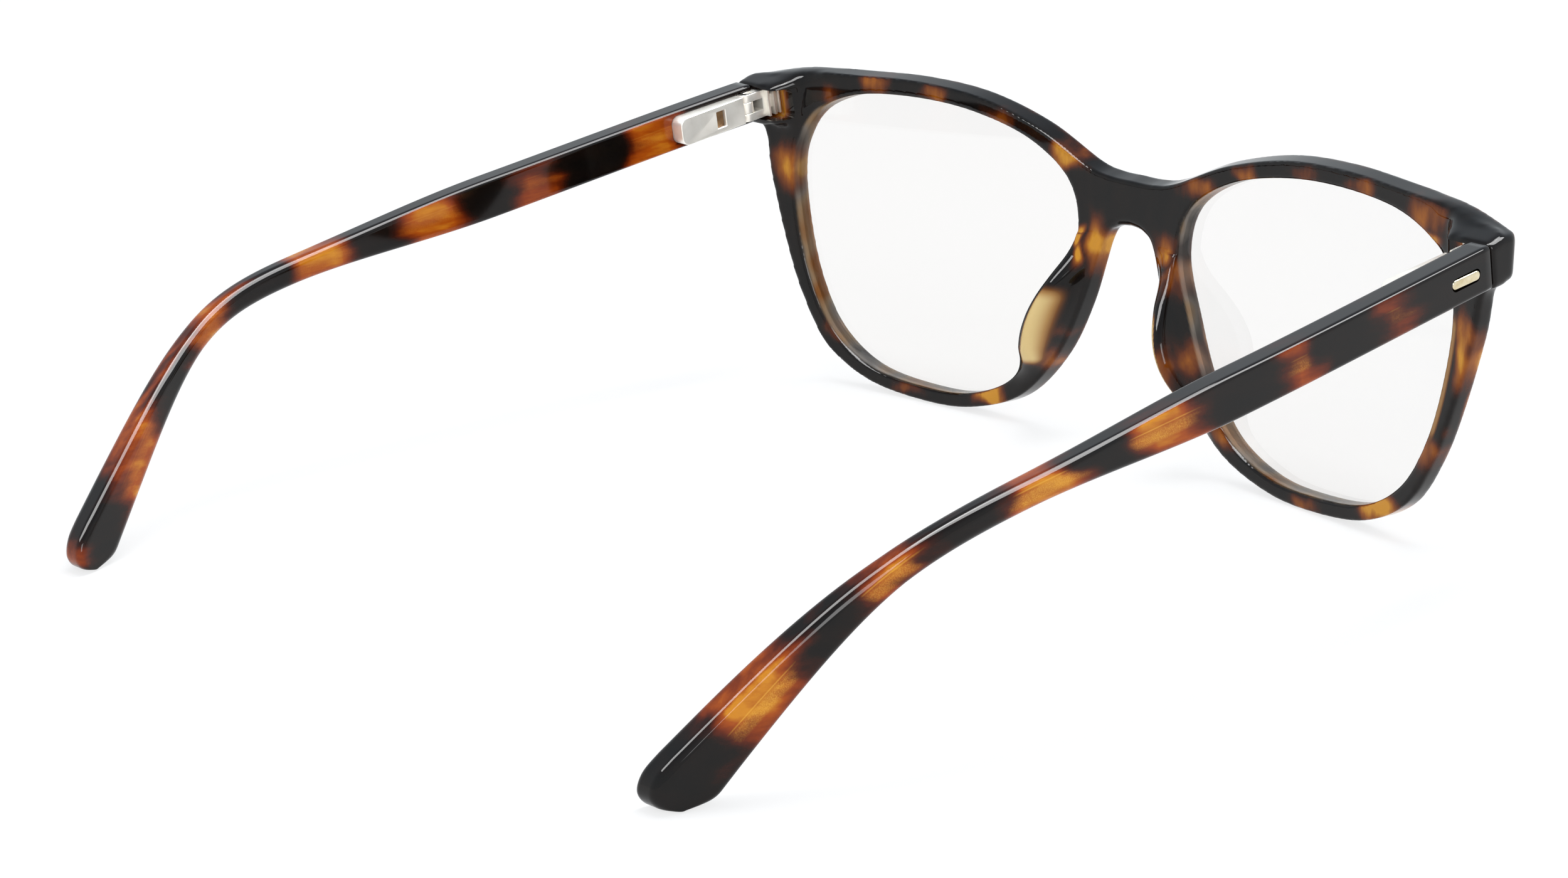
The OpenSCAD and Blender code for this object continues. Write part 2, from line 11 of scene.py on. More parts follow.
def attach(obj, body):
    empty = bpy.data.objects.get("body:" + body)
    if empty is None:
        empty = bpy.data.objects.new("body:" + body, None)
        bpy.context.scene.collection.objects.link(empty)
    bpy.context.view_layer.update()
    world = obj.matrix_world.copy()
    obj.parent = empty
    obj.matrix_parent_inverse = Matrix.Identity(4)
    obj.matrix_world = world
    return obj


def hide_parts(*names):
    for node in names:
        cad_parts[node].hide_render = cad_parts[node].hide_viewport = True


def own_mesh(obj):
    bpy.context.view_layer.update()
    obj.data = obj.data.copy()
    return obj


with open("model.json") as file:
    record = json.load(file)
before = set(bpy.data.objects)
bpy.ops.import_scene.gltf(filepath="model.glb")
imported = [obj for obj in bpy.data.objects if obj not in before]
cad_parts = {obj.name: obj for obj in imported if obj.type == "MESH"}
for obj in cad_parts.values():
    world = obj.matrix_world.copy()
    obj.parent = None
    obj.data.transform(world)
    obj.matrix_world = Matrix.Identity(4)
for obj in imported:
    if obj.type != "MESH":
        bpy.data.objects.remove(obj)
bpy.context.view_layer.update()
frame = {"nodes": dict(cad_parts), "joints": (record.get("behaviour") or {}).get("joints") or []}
nodes = frame["nodes"]
SIDES = {"left": 1, "right": -1}
MM_PER_M = 1000

# Sizes are in millimetres, in the frame of the open temples: x across, y back from the front, z up.
# On the front itself s runs up the leaning lens plane and depth runs forward from its curved back.

# Lens opening, and the lens that sits in its groove
LENS_W = 52.3
LENS_H = 41.2
BRIDGE_GAP = 18.8
EYE_X = BRIDGE_GAP / 2
EYE_TOP = -0.35
LENS_T = 1.2
LENS_SET = 1.2
LENS_GRIP = 0.65

# Front: widths of the rim, edges of bridge and ends, thickness, curve and lean
RIM_TOP = 2.8
RIM_OUTER = 4.2
RIM_BOTTOM = 2.0
RIM_NASAL = 4.6
BRIDGE_TOP = -5.55
BRIDGE_LOW = -12.35
HALF_W = 70.5
END_TOP = -0.7
END_LOW = -6.7
FRONT_T = 3.2
FRONT_R = 330
FRONT_LEAN = math.radians(11)

# Endpiece: its back, its height, the fall of its top and the hinge pocket
SEAM_Y = 9.8
END_H = 6.0
END_RAMP = 0.2
POCKET = ((63.5, 68.6), (6.4, 10.8), (-4.9, -0.3))
POCKET_MOUTH = ((57, 68.5), (7.1, 10.9), (-4.85, -0.35))

# Temple: outer side, front end, top, then heights and thicknesses to the tip
TEMPLE_X = 70.4
TEMPLE_Y = 9.92
TEMPLE_TOP = 0.25
TEMPLE_H = 5.7
TEMPLE_MID = TEMPLE_TOP - TEMPLE_H / 2
BEND_H = 3.4
TIP_H = 8.1
TEMPLE_T = 3.5
TIP_T = 2.8
TAPER_FROM = 46
TAPER_LEN = 34

# Its way: straight with a little bow and sag, then down and inwards along the hook
STRAIGHT_LEN = 97.5
HOOK_LEN = 29.8
BEND_Y = TEMPLE_Y + STRAIGHT_LEN
TURN_Y = BEND_Y - 6
TIP_Y = BEND_Y + HOOK_LEN
FLOOR_Z = TEMPLE_TOP - 27.2
HOOK_SLOPE = math.tan(math.radians(39.5))
HOOK_TURN = math.tan(math.radians(19.5))
BEND_SOFT = 6
TURN_SOFT = 4.5
BOW = 1.9
BOW_LEN = 75
SAG = 0.45
SAG_LEN = 50

# The inner side of the tip is thicker by this much from here on
TIP_SWELL = 1.3
SWELL_Y = 98
SWELL_LEN = 30

# Spring hinge: screw, box with its open face, end and thickness, and the spring's travel
HINGE_Z = TEMPLE_MID
PIN_X = 66.7
PIN_Y = 11.52
BOX_X = 65.5
BOX_END = 24.57
BOX_H = 4.0
BOX_T = 3.0

# Inlay with the room round it, and half the height of the core wire
INLAY_Y = TEMPLE_Y + 2.4
INLAY_LEN = 5.2
INLAY_H = 1.36
INLAY_SEAT = 0.95
INLAY_ROOM = 0.16
WIRE_HALF = 0.7

# The rest pose is read from the frame: the hinge screw's place and direction carry the tilt
fold = next(j for j in frame["joints"] if j["name"] == "left_fold")
rest_turn = Matrix.Rotation(-math.atan2(fold["axis"][1], fold["axis"][2]), 4, "X")
pin_place = MM_PER_M * Vector(fold["pos_m"])
rest_move = pin_place - rest_turn @ Vector((PIN_X, PIN_Y, HINGE_Z))
TO_WORLD = Matrix.Scale(1 / MM_PER_M, 4) @ Matrix.Translation(rest_move) @ rest_turn
TO_TEMPLE = TO_WORLD.inverted()


# Curves


def mix(a, b, t):
    return a + (b - a) * t


def ease(t):
    """Soft step from 0 to 1."""
    t = min(1, max(0, t))
    return t * t * (3 - 2 * t)


def rises(value, start, run):
    """Soft step up from 0 at the start to 1 after the run; a named step is its start or end and its run."""
    return ease((value - start) / run)


def falls(value, end, run):
    """Soft step down from 1 to 0 over the run before the end."""
    return ease((end - value) / run)


def curve_point(points, t, closed=False):
    """Point at t on the smooth curve through the points, where t counts the points passed."""
    n = len(points)
    i = math.floor(t)
    if closed:
        a, b, c, d = (points[k % n] for k in (i - 1, i, i + 1, i + 2))
    else:
        i = min(max(i, 0), n - 2)
        a, b, c, d = (points[min(max(k, 0), n - 1)] for k in (i - 1, i, i + 1, i + 2))
    t -= i
    cubic = (3 * b - a - 3 * c + d) * t**3 + (2 * a - 5 * b + 4 * c - d) * t**2 + (c - a) * t + 2 * b
    return cubic / 2


# Outline of the lens opening: shares of its width from the nose and of its height from the top
EYE_SHAPE = [
    (1, 0.344), (0.986, 0.21), (0.922, 0.096), (0.787, 0.023), (0.58, 0), (0.375, 0.015),
    (0.176, 0.074), (0.036, 0.186), (0, 0.351), (0.05, 0.55), (0.115, 0.735), (0.214, 0.898),
    (0.36, 0.983), (0.519, 1), (0.71, 0.973), (0.844, 0.878), (0.921, 0.735), (0.97, 0.563),
]
EYE_POINTS = [Vector((EYE_X + LENS_W * u, EYE_TOP - LENS_H * v)) for u, v in EYE_SHAPE]
EYE_COUNT = len(EYE_POINTS)
# How far to both sides the outline's direction is taken, in points
EYE_LOOK = 0.05


def away_from_lens(run):
    """Direction square to a run round the lens opening, away from the lens."""
    run = run.normalized()
    return Vector((run.y, -run.x))


def eye_grown(i, width):
    """One of the outline's points, moved away from the lens."""
    run = EYE_POINTS[(i + 1) % EYE_COUNT] - EYE_POINTS[(i - 1) % EYE_COUNT]
    return EYE_POINTS[i % EYE_COUNT] + width * away_from_lens(run)


def eye_at(t, width=0):
    """Place at t on the outline grown by the width."""
    return curve_point([eye_grown(i, width) for i in range(EYE_COUNT)], t, closed=True)


def eye_away_at(t):
    """Direction away from the lens at t on its outline."""
    return away_from_lens(eye_at(t + EYE_LOOK) - eye_at(t - EYE_LOOK))


LEAN_COS = math.cos(FRONT_LEAN)
LEAN_SIN = math.sin(FRONT_LEAN)


def back_y(x):
    """Depth of the front's curved back at x, from its middle."""
    return FRONT_R - math.sqrt(FRONT_R**2 - x * x)


def on_front(x, s, depth):
    """Place of a point at that depth in front of the curved back of the leaning front."""
    y = back_y(x) - depth
    return Vector((x, y * LEAN_COS - s * LEAN_SIN, y * LEAN_SIN + s * LEAN_COS))


def front_place(p):
    """The other way round: x, s and depth of a place in the frame of the temples."""
    return p.x, p.z * LEAN_COS - p.y * LEAN_SIN, back_y(p.x) - (p.y * LEAN_COS + p.z * LEAN_SIN)


# Shaping

X, Y = 0, 1
# Vertices closer than this are merged, those of two halves from a little farther off
MERGE = 1e-4
JOIN = 1e-3
# What is closer to a face than this lies on it, and edges past this angle are drawn sharp
ON_FACE = 0.02
CREASE = math.radians(38)


def first_ring(bm, places):
    """A closed ring of vertices at the places."""
    ring = bmesh.ops.create_circle(bm, segments=len(places))["verts"]
    for v, place in zip(ring, places):
        v.co = place
    return ring


def ring_edges(bm, ring):
    return [bm.edges.get((ring[k - 1], ring[k])) for k in range(len(ring))]


def grow_ring(bm, ring, places):
    """Extrudes a ring of vertices and moves the new ring to the places."""
    grown = bmesh.ops.extrude_edge_only(bm, edges=ring_edges(bm, ring))["geom"]
    fresh = {v for v in grown if isinstance(v, bmesh.types.BMVert)}
    new = [next(e.other_vert(v) for e in v.link_edges if e.other_vert(v) in fresh) for v in ring]
    for v, place in zip(new, places):
        v.co = place
    return new


def lofted(rings):
    """A solid through rings of places, closed at both ends."""
    bm = bmesh.new()
    ring = first_ring(bm, rings[0])
    bm.faces.new(ring)
    for places in rings[1:]:
        ring = grow_ring(bm, ring, places)
    bm.faces.new(ring)
    return bm


def box_shape(bm, x, y, z):
    """A box between two values on each axis."""
    size = Matrix.Diagonal((x[1] - x[0], y[1] - y[0], z[1] - z[0], 1))
    middle = Vector(((x[0] + x[1]) / 2, (y[0] + y[1]) / 2, (z[0] + z[1]) / 2))
    bmesh.ops.create_cube(bm, size=1, matrix=Matrix.Translation(middle) @ size)


def runs_along(edge, axis):
    """Whether an edge reaches more than a millimetre along the axis."""
    return abs(edge.verts[0].co[axis] - edge.verts[1].co[axis]) > 1


def rounded(bm, edges, width, segments, clamp=False):
    """Rounds the edges; one segment makes a chamfer."""
    bmesh.ops.bevel(bm, geom=edges, offset=width, affect="EDGES", segments=segments, profile=0.5,
                    material=-1, clamp_overlap=clamp)


def rounded_box(x, y, z, chosen, r, segments):
    """A box whose edges across, where their ends are chosen, are rounded."""
    bm = bmesh.new()
    box_shape(bm, x, y, z)
    edges = [e for e in bm.edges if all(chosen(v.co) for v in e.verts) and runs_along(e, X)]
    rounded(bm, edges, r, segments)
    return bm


def eased(bm, verts, factor, passes):
    """Smooths the vertices a number of times."""
    for k in range(passes):
        bmesh.ops.smooth_vert(bm, verts=verts, factor=factor, use_axis_x=True, use_axis_y=True,
                              use_axis_z=True)


def mirrored(bm, side):
    """Turns a left-hand piece into the right-hand one."""
    if side < 0:
        bmesh.ops.scale(bm, vec=(-1, 1, 1), verts=bm.verts)
        bmesh.ops.reverse_faces(bm, faces=bm.faces)


def added(bm, part, side):
    """Puts a left-hand part into the shape on the given side."""
    mirrored(part, side)
    mesh = bpy.data.meshes.new("part")
    part.to_mesh(mesh)
    part.free()
    bm.from_mesh(mesh)
    bpy.data.meshes.remove(mesh)


def new_object(bm, name):
    """The shape as an object in the scene."""
    mesh = bpy.data.meshes.new(name)
    bm.to_mesh(mesh)
    bm.free()
    made = bpy.data.objects.new(name, mesh)
    bpy.context.scene.collection.objects.link(made)
    return made


def shaped_by(obj, modifier, **settings):
    """The object's mesh after one modifier, as a new bmesh; the object itself is removed."""
    step = obj.modifiers.new("step", modifier)
    for name, value in settings.items():
        setattr(step, name, value)
    depsgraph = bpy.context.evaluated_depsgraph_get()
    mesh = bpy.data.meshes.new_from_object(obj.evaluated_get(depsgraph))
    bm = bmesh.new()
    bm.from_mesh(mesh)
    bpy.data.meshes.remove(mesh)
    bpy.data.objects.remove(obj)
    return bm


def carved(bm, cutter):
    """The first shape less the second."""
    tool = new_object(cutter, "cutter")
    blank = new_object(bm, "blank")
    bm = shaped_by(blank, "BOOLEAN", object=tool, operation="DIFFERENCE", solver="EXACT")
    bpy.data.objects.remove(tool)
    return bm


def finished(bm, name, body, stands_for, material, paint=None):
    """Puts a shape at its place in the world as a named piece that rides on its body."""
    mesh = bpy.data.meshes.new(name)
    bmesh.ops.recalc_face_normals(bm, faces=bm.faces)
    bm.to_mesh(mesh)
    bm.free()
    for face in mesh.polygons:
        face.use_smooth = True
    mesh.set_sharp_from_angle(angle=CREASE)
    if paint:
        paint(mesh)
    mesh.transform(TO_WORLD)
    piece = bpy.data.objects.new(name, mesh)
    bpy.context.scene.collection.objects.link(piece)
    mesh.materials.append(material)
    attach(piece, body)
    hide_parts(*stands_for)
    return piece


# What each vertex of the acetate keeps: depth of amber, height over the core wire, how far it faces
# outwards, whether it is the cut wall round the lens, and how much painted light through thin acetate it
# shows
PAINT = ("amber", "rise", "outer", "tooled", "pale")


def painted(mesh, rows):
    """Keeps one row of numbers for each vertex, which the material reads by their names."""
    for name, values in zip(PAINT, zip(*rows)):
        layer = mesh.attributes.new(name, "FLOAT", "POINT")
        layer.data.foreach_set("value", values)


# Materials


def colour(code):
    """Linear colour of an sRGB hex value."""
    parts = [int(code[k:k + 2], 16) / 255 for k in (1, 3, 5)]
    return [c / 12.92 if c <= 0.04045 else ((c + 0.055) / 1.055) ** 2.4 for c in parts] + [1]


def node(tree, kind, inputs=None, **settings):
    """Adds a node with its settings; an input is a value, or the socket or node that feeds it."""
    made = tree.nodes.new(kind)
    for name, value in settings.items():
        setattr(made, name, value)
    for name, value in (inputs or {}).items():
        if isinstance(value, bpy.types.Node):
            value = value.outputs[0]
        if isinstance(value, bpy.types.NodeSocket):
            tree.links.new(value, made.inputs[name])
        else:
            made.inputs[name].default_value = value
    return made


def new_material(name):
    material = bpy.data.materials.new(name)
    material.use_nodes = True
    tree = material.node_tree
    tree.nodes.clear()
    return material, tree


def set_ramp(ramp, stops):
    """Colours at their places on a ramp node."""
    points = ramp.color_ramp.elements
    while len(points) < len(stops):
        points.new(0.5)
    for point, (place, value) in zip(points, stops):
        point.position = place
        point.color = colour(value)


def per_mm(size):
    """Scale of a texture whose features are that many millimetres across, on metres."""
    return MM_PER_M / size


# Clouds and grain of the acetate: size, noise detail and how far each sways the amber
SHEET_NOISE = ((2.6, 1, 0.14), (0.5, 2, 0.03))
# Depths of amber at which the sheet takes each of its hues
HUE_DEPTHS = (0.0, 0.24, 0.4, 0.56, 0.7, 0.84, 1.0)
# Grit of the brass seen through the acetate, drawn coarser than it is so that it shows; the wire's own grit,
# with painted glints in its sparkle
GLITTER = 0.14
WIRE_GOLD = "#d9a43c"
# The wire's edges fade over this much to both sides, and a painted highlight line lies this far above it
WIRE_FADE = 0.2
WIRE_HIGHLIGHT_ABOVE = 0.25
# Painted light through the thin nose pad, from its thick part to its edge
PAINTED_GLOW_HUES = [(0.1, "#40200c"), (0.35, "#6f4319"), (0.62, "#a17a47"), (1.0, "#cbb078")]
# Clouds on the cut wall round the lens: size, hues and how far they cover the sheet
WALL_CLOUD = 7
WALL_HUES = [(0.36, "#4f4a46"), (0.47, "#8f8377"), (0.56, "#a98a68"), (0.68, "#9a5f2a")]
WALL_COVER = 0.5


def amber_depth(tree, place, draw, amber):
    """The painted depth of amber, swayed by clouds and grain that are drawn out along the sheet."""
    drawn = node(tree, "ShaderNodeMapping", {"Vector": place, "Scale": draw})
    for size, detail, reach in SHEET_NOISE:
        cloud = node(tree, "ShaderNodeTexNoise", {"Vector": drawn, "Scale": per_mm(size), "Detail": detail})
        sway = node(tree, "ShaderNodeMapRange", {
            "Value": cloud, "From Min": 0.25, "From Max": 0.75, "To Min": -reach, "To Max": reach})
        amber = node(tree, "ShaderNodeMath", {0: amber, 1: sway}, operation="ADD")
    return amber


def wire_share(tree, place, depth, read):
    """How far the core wire shows: a stripe with painted glints and a painted highlight along its upper
    edge, where amber lets it.
    """
    level = node(tree, "ShaderNodeMath", {0: read["rise"]}, operation="ABSOLUTE")
    inside = node(tree, "ShaderNodeMapRange", {
        "Value": level, "From Min": WIRE_HALF + WIRE_FADE, "From Max": WIRE_HALF - WIRE_FADE})
    glitter = node(tree, "ShaderNodeTexNoise", {"Vector": place, "Scale": per_mm(GLITTER), "Detail": 1})
    spark = node(tree, "ShaderNodeMapRange", {
        "Value": glitter, "From Min": 0.38, "From Max": 0.74, "To Min": 0.25, "To Max": 0.9})
    # A painted highlight line along the wire's upper edge
    over = node(tree, "ShaderNodeMath", {0: read["rise"], 1: WIRE_HALF + WIRE_HIGHLIGHT_ABOVE}, operation="SUBTRACT")
    off_line = node(tree, "ShaderNodeMath", {0: over}, operation="ABSOLUTE")
    line = node(tree, "ShaderNodeMapRange", {
        "Value": off_line, "From Min": 0.13, "From Max": 0.02, "To Min": 0, "To Max": 0.8})
    stripe = node(tree, "ShaderNodeMath", {0: inside, 1: spark}, operation="MULTIPLY")
    sheen = node(tree, "ShaderNodeMath", {0: stripe, 1: line}, operation="MAXIMUM")
    clear = node(tree, "ShaderNodeMapRange", {
        "Value": depth, "From Min": 0.5, "From Max": 0.9, "To Min": 0, "To Max": 0.6})
    seen = node(tree, "ShaderNodeMath", {0: clear, 1: read["outer"]}, operation="MULTIPLY")
    return node(tree, "ShaderNodeMath", {0: sheen, 1: seen}, operation="MULTIPLY")


def tortoiseshell(name, draw, hues):
    """Cellulose acetate sheet, block-pressed from dark and amber chips and tumble polished: near-black
    clouds that melt through red-brown into amber and gold, drawn out into streaks along the sheet, and
    a hard wet gloss. The cut wall round the lens stays duller and paler."""
    material, tree = new_material(name)
    place = node(tree, "ShaderNodeTexCoord").outputs["Object"]
    read = {kind: node(tree, "ShaderNodeAttribute", attribute_name=kind).outputs["Fac"] for kind in PAINT}
    depth = amber_depth(tree, place, draw, read["amber"])
    sheet = node(tree, "ShaderNodeValToRGB", {"Fac": depth})
    set_ramp(sheet, list(zip(HUE_DEPTHS, hues)))
    wire = wire_share(tree, place, depth, read)
    wired = node(tree, "ShaderNodeMix", {"Factor": wire, "A": sheet, "B": colour(WIRE_GOLD)},
                 data_type="RGBA")
    glow = node(tree, "ShaderNodeValToRGB", {"Fac": read["pale"]})
    set_ramp(glow, PAINTED_GLOW_HUES)
    # Painted light through thin acetate, laid over the sheet's colour
    through = node(tree, "ShaderNodeMapRange", {"Value": read["pale"], "From Min": 0.04, "From Max": 0.4})
    thin = node(tree, "ShaderNodeMix", {"Factor": through, "A": wired.outputs["Result"], "B": glow},
                data_type="RGBA")
    cloud = node(tree, "ShaderNodeTexNoise", {"Vector": place, "Scale": per_mm(WALL_CLOUD), "Detail": 1})
    wall = node(tree, "ShaderNodeValToRGB", {"Fac": cloud})
    set_ramp(wall, WALL_HUES)
    cover = node(tree, "ShaderNodeMath", {0: read["tooled"], 1: WALL_COVER}, operation="MULTIPLY")
    walled = node(tree, "ShaderNodeMix", {"Factor": cover, "A": thin.outputs["Result"], "B": wall},
                  data_type="RGBA")
    rough = node(tree, "ShaderNodeMapRange", {"Value": read["tooled"], "To Min": 0.045, "To Max": 0.22})
    shader = node(tree, "ShaderNodeBsdfPrincipled", {
        "Base Color": walled.outputs["Result"], "Roughness": rough, "IOR": 1.49, "Specular IOR Level": 0.26})
    node(tree, "ShaderNodeOutputMaterial", {"Surface": shader})
    return material


def clear_lens():
    """Hard-coated optical resin, cast and polished: almost invisible, a breath of grey, faint reflections
    that gather towards grazing angles."""
    material, tree = new_material("clear_lens")
    facing = node(tree, "ShaderNodeFresnel", {"IOR": 1.25})
    through = node(tree, "ShaderNodeBsdfTransparent", {"Color": colour("#faf9f8")})
    gloss = node(tree, "ShaderNodeBsdfGlossy", {"Color": colour("#f4f6f8"), "Roughness": 0.02})
    both = node(tree, "ShaderNodeMixShader", {0: facing, 1: through, 2: gloss})
    node(tree, "ShaderNodeOutputMaterial", {"Surface": both})
    return material


def metal(name, pale, dark, rough, grain, bare=1.0):
    """A plated or drawn metal whose tone and roughness drift a little over the grain size; a satin
    finish scatters more and is less than wholly bare."""
    material, tree = new_material(name)
    place = node(tree, "ShaderNodeTexCoord").outputs["Object"]
    drift = node(tree, "ShaderNodeTexNoise", {"Vector": place, "Scale": per_mm(grain), "Detail": 4})
    ramp = node(tree, "ShaderNodeValToRGB", {"Fac": drift})
    set_ramp(ramp, [(0.3, dark), (0.65, pale)])
    dull = node(tree, "ShaderNodeMapRange", {"Value": drift, "To Min": rough * 0.85, "To Max": rough * 1.15})
    shader = node(tree, "ShaderNodeBsdfPrincipled", {
        "Base Color": ramp, "Metallic": bare, "Roughness": dull})
    node(tree, "ShaderNodeOutputMaterial", {"Surface": shader})
    return material


# The front's sheet is browner and drawn out upwards, the temples' redder and drawn out lengthwise
FRONT_ACETATE = tortoiseshell("tortoiseshell_front", (1.3, 1, 0.4), (
    "#090706", "#110b08", "#271108", "#481e08", "#6a340a", "#8b4c0f", "#bd8122"))
TEMPLE_ACETATE = tortoiseshell("tortoiseshell_temple", (1.4, 0.25, 1.4), (
    "#090706", "#110a07", "#290e06", "#501a05", "#762d07", "#96430a", "#bd781c"))
LENS = clear_lens()
# Nickel-plated hinge brass, barrel polished: bright silver with a warm cast and soft reflections
NICKEL = metal("nickel_plate", "#f8f3ea", "#efe9df", 0.3, 2.5, 0.6)
# Hard-drawn stainless wire: a greyer, duller silver
SPRING_STEEL = metal("drawn_steel", "#c4c4c2", "#a9a9a6", 0.3, 0.6)
# Stamped phosphor bronze of the spring stop, left bare: a dull brown behind the box's window
BRONZE = metal("phosphor_bronze", "#8a6a48", "#6d5034", 0.45, 0.9, 0.5)
# Bright-drawn brass of the core wire: a clean yellow, hidden in the acetate
BRASS = metal("drawn_brass", "#d9a850", "#b98534", 0.3, 0.8)
# Pale gold plating on the inlay, polished: a light gold with clear reflections
PALE_GOLD = metal("pale_gold_plate", "#eae0c4", "#d2c39c", 0.17, 1.2)


# The front: rims, bridge, endpieces and nose pads in one polished piece

# Steps over each part of the rim's section, and the distance between sections
ARC_STEPS = 8
FACE_STEPS = 6
EDGE_STEPS = 4
BACK_STEPS = 14
WALL_STEPS = 9
STATION = 0.55
# Radii of the rim's edges, then of the ends and of the bridge's underside
FACE_R = 0.5
BACK_R = 0.32
EYE_R = 0.4
END_FACE_R = 1.4
END_BACK_R = 0.5
BRIDGE_R = 1.3
# The radii of the bridge fade out this far from the middle
BRIDGE_FADE = 9
# Where the brow ends on the lens outline, and how much its top falls away towards the back
BROW_END = 1.55
DRAFT = 0.5
DRAFT_FADE = 0.6
# Nose pads: their stretch of the lens outline, the ridge's radius and the reach that gets it all
PAD_FROM, PAD_TO = -10, -5.6
PAD_RIDGE = 1.2
PAD_FULL = 4
# How far the nose pad stands back at places down the front
PAD_REACH = [(-13.6, 0), (-17.0, 1.3), (-20.8, 4.1), (-24.6, 5.8), (-28.0, 5.9), (-31.0, 4.6),
             (-33.8, 2.1), (-36.2, 0.5), (-38.6, 0)]
# Outline points, each with the place on the lens outline that it looks at
BROW = [
    (Vector((0, BRIDGE_TOP)), 7.1), (Vector((4, BRIDGE_TOP + 0.05)), 6.85),
    (Vector((8.2, BRIDGE_TOP + 0.9)), 6.45), *((eye_grown(i, RIM_TOP), i) for i in (6, 5, 4)),
    (eye_grown(3, mix(RIM_TOP, RIM_OUTER, 0.35)), 3),
    (Vector((HALF_W - 9, END_TOP + 1.9)), 2.2), (Vector((HALF_W - 0.8, END_TOP)), 1.6),
]
END_FACE = [
    (Vector((HALF_W - 0.23, END_TOP - 0.25)), 1.52), (Vector((HALF_W, END_TOP - 0.8)), 1.45),
    (Vector((HALF_W, END_TOP - 2.2)), 1.3), (Vector((HALF_W, END_LOW + 2.2)), 1.12),
    (Vector((HALF_W, END_LOW + 0.8)), 0.98), (Vector((HALF_W - 0.23, END_LOW + 0.25)), 0.9),
]
RIM_WIDTHS = [mix(RIM_OUTER, RIM_BOTTOM, share) for share in (0, 0.6, 0.8, 0.85, 1, 1, 1)]
RIM_WIDTHS += [mix(RIM_BOTTOM, RIM_NASAL, share) for share in (0.25, 0.65, 0.85, 1)]
LOWER = [
    (Vector((HALF_W - 0.8, END_LOW)), 0.85), (Vector((HALF_W - 3.4, END_LOW - 2.1)), 0.5),
    *((eye_grown(-k, width), -k) for k, width in enumerate(RIM_WIDTHS)),
    (Vector((2.7, BRIDGE_LOW - 0.5)), -10.25), (Vector((0, BRIDGE_LOW)), -10.4),
]
# Sections that end flat across the middle of the bridge
MIDDLE_SECTIONS = 3
# Steps into the ends of the front, across and up
END_ACROSS = (58, 9)
END_UP = (-11, 4)


def spread(controls):
    """Points about one station apart on the smooth line through the controls, with their lens places."""
    points = [p for p, t in controls]
    found = []
    for i in range(len(controls) - 1):
        steps = max(1, round((points[i + 1] - points[i]).length / STATION))
        for k in range(steps):
            share = k / steps
            found.append((curve_point(points, i + share), mix(controls[i][1], controls[i + 1][1], share)))
    return found + [controls[-1]]


def pad_reach(s):
    """How far back the nose pad stands at that height of the front."""
    if not PAD_REACH[-1][0] < s < PAD_REACH[0][0]:
        return 0
    i = max(k for k in range(len(PAD_REACH) - 1) if PAD_REACH[k][0] >= s)
    t = i + (s - PAD_REACH[i][0]) / (PAD_REACH[i + 1][0] - PAD_REACH[i][0])
    return max(0, curve_point([r for place, r in PAD_REACH], t))


def quarter(r):
    """Run in and drop of a rounded edge, from its wall to its face."""
    turns = [math.pi / 2 * k / ARC_STEPS for k in range(ARC_STEPS + 1)]
    return [(r * (1 - math.cos(a)), r * (1 - math.sin(a))) for a in turns]


def rim_section(eye, away, out, out_away, face_r, back_r, pad=0, draft=0):
    """Places round one section of the rim: lens side, face, outer edge and back with the pad."""
    ridge = mix(EYE_R, PAD_RIDGE, min(1, pad / PAD_FULL))
    places = [(eye + away * run, FRONT_T - drop) for run, drop in quarter(EYE_R)]
    face_from, face_to = eye + away * EYE_R, out - out_away * face_r
    places += [(mix(face_from, face_to, k / FACE_STEPS), FRONT_T) for k in range(1, FACE_STEPS)]
    places += [(out - out_away * run, FRONT_T - drop) for run, drop in reversed(quarter(face_r))]
    low = out - out_away * draft
    for k in range(1, EDGE_STEPS):
        share = k / EDGE_STEPS
        places.append((mix(out, low, share), mix(FRONT_T - face_r, back_r, share)))
    places += [(low - out_away * run, drop) for run, drop in quarter(back_r)]
    back_from, back_to = low - out_away * back_r, eye + away * ridge
    for k in range(1, BACK_STEPS):
        share = k / BACK_STEPS
        places.append((mix(back_from, back_to, share), -pad * (1 - (1 - share) ** 2)))
    places += [(eye + away * run, drop - pad) for run, drop in reversed(quarter(ridge))]
    places += [(eye, mix(ridge - pad, FRONT_T - EYE_R, k / WALL_STEPS)) for k in range(1, WALL_STEPS)]
    return [on_front(p.x, p.y, depth) for p, depth in places]


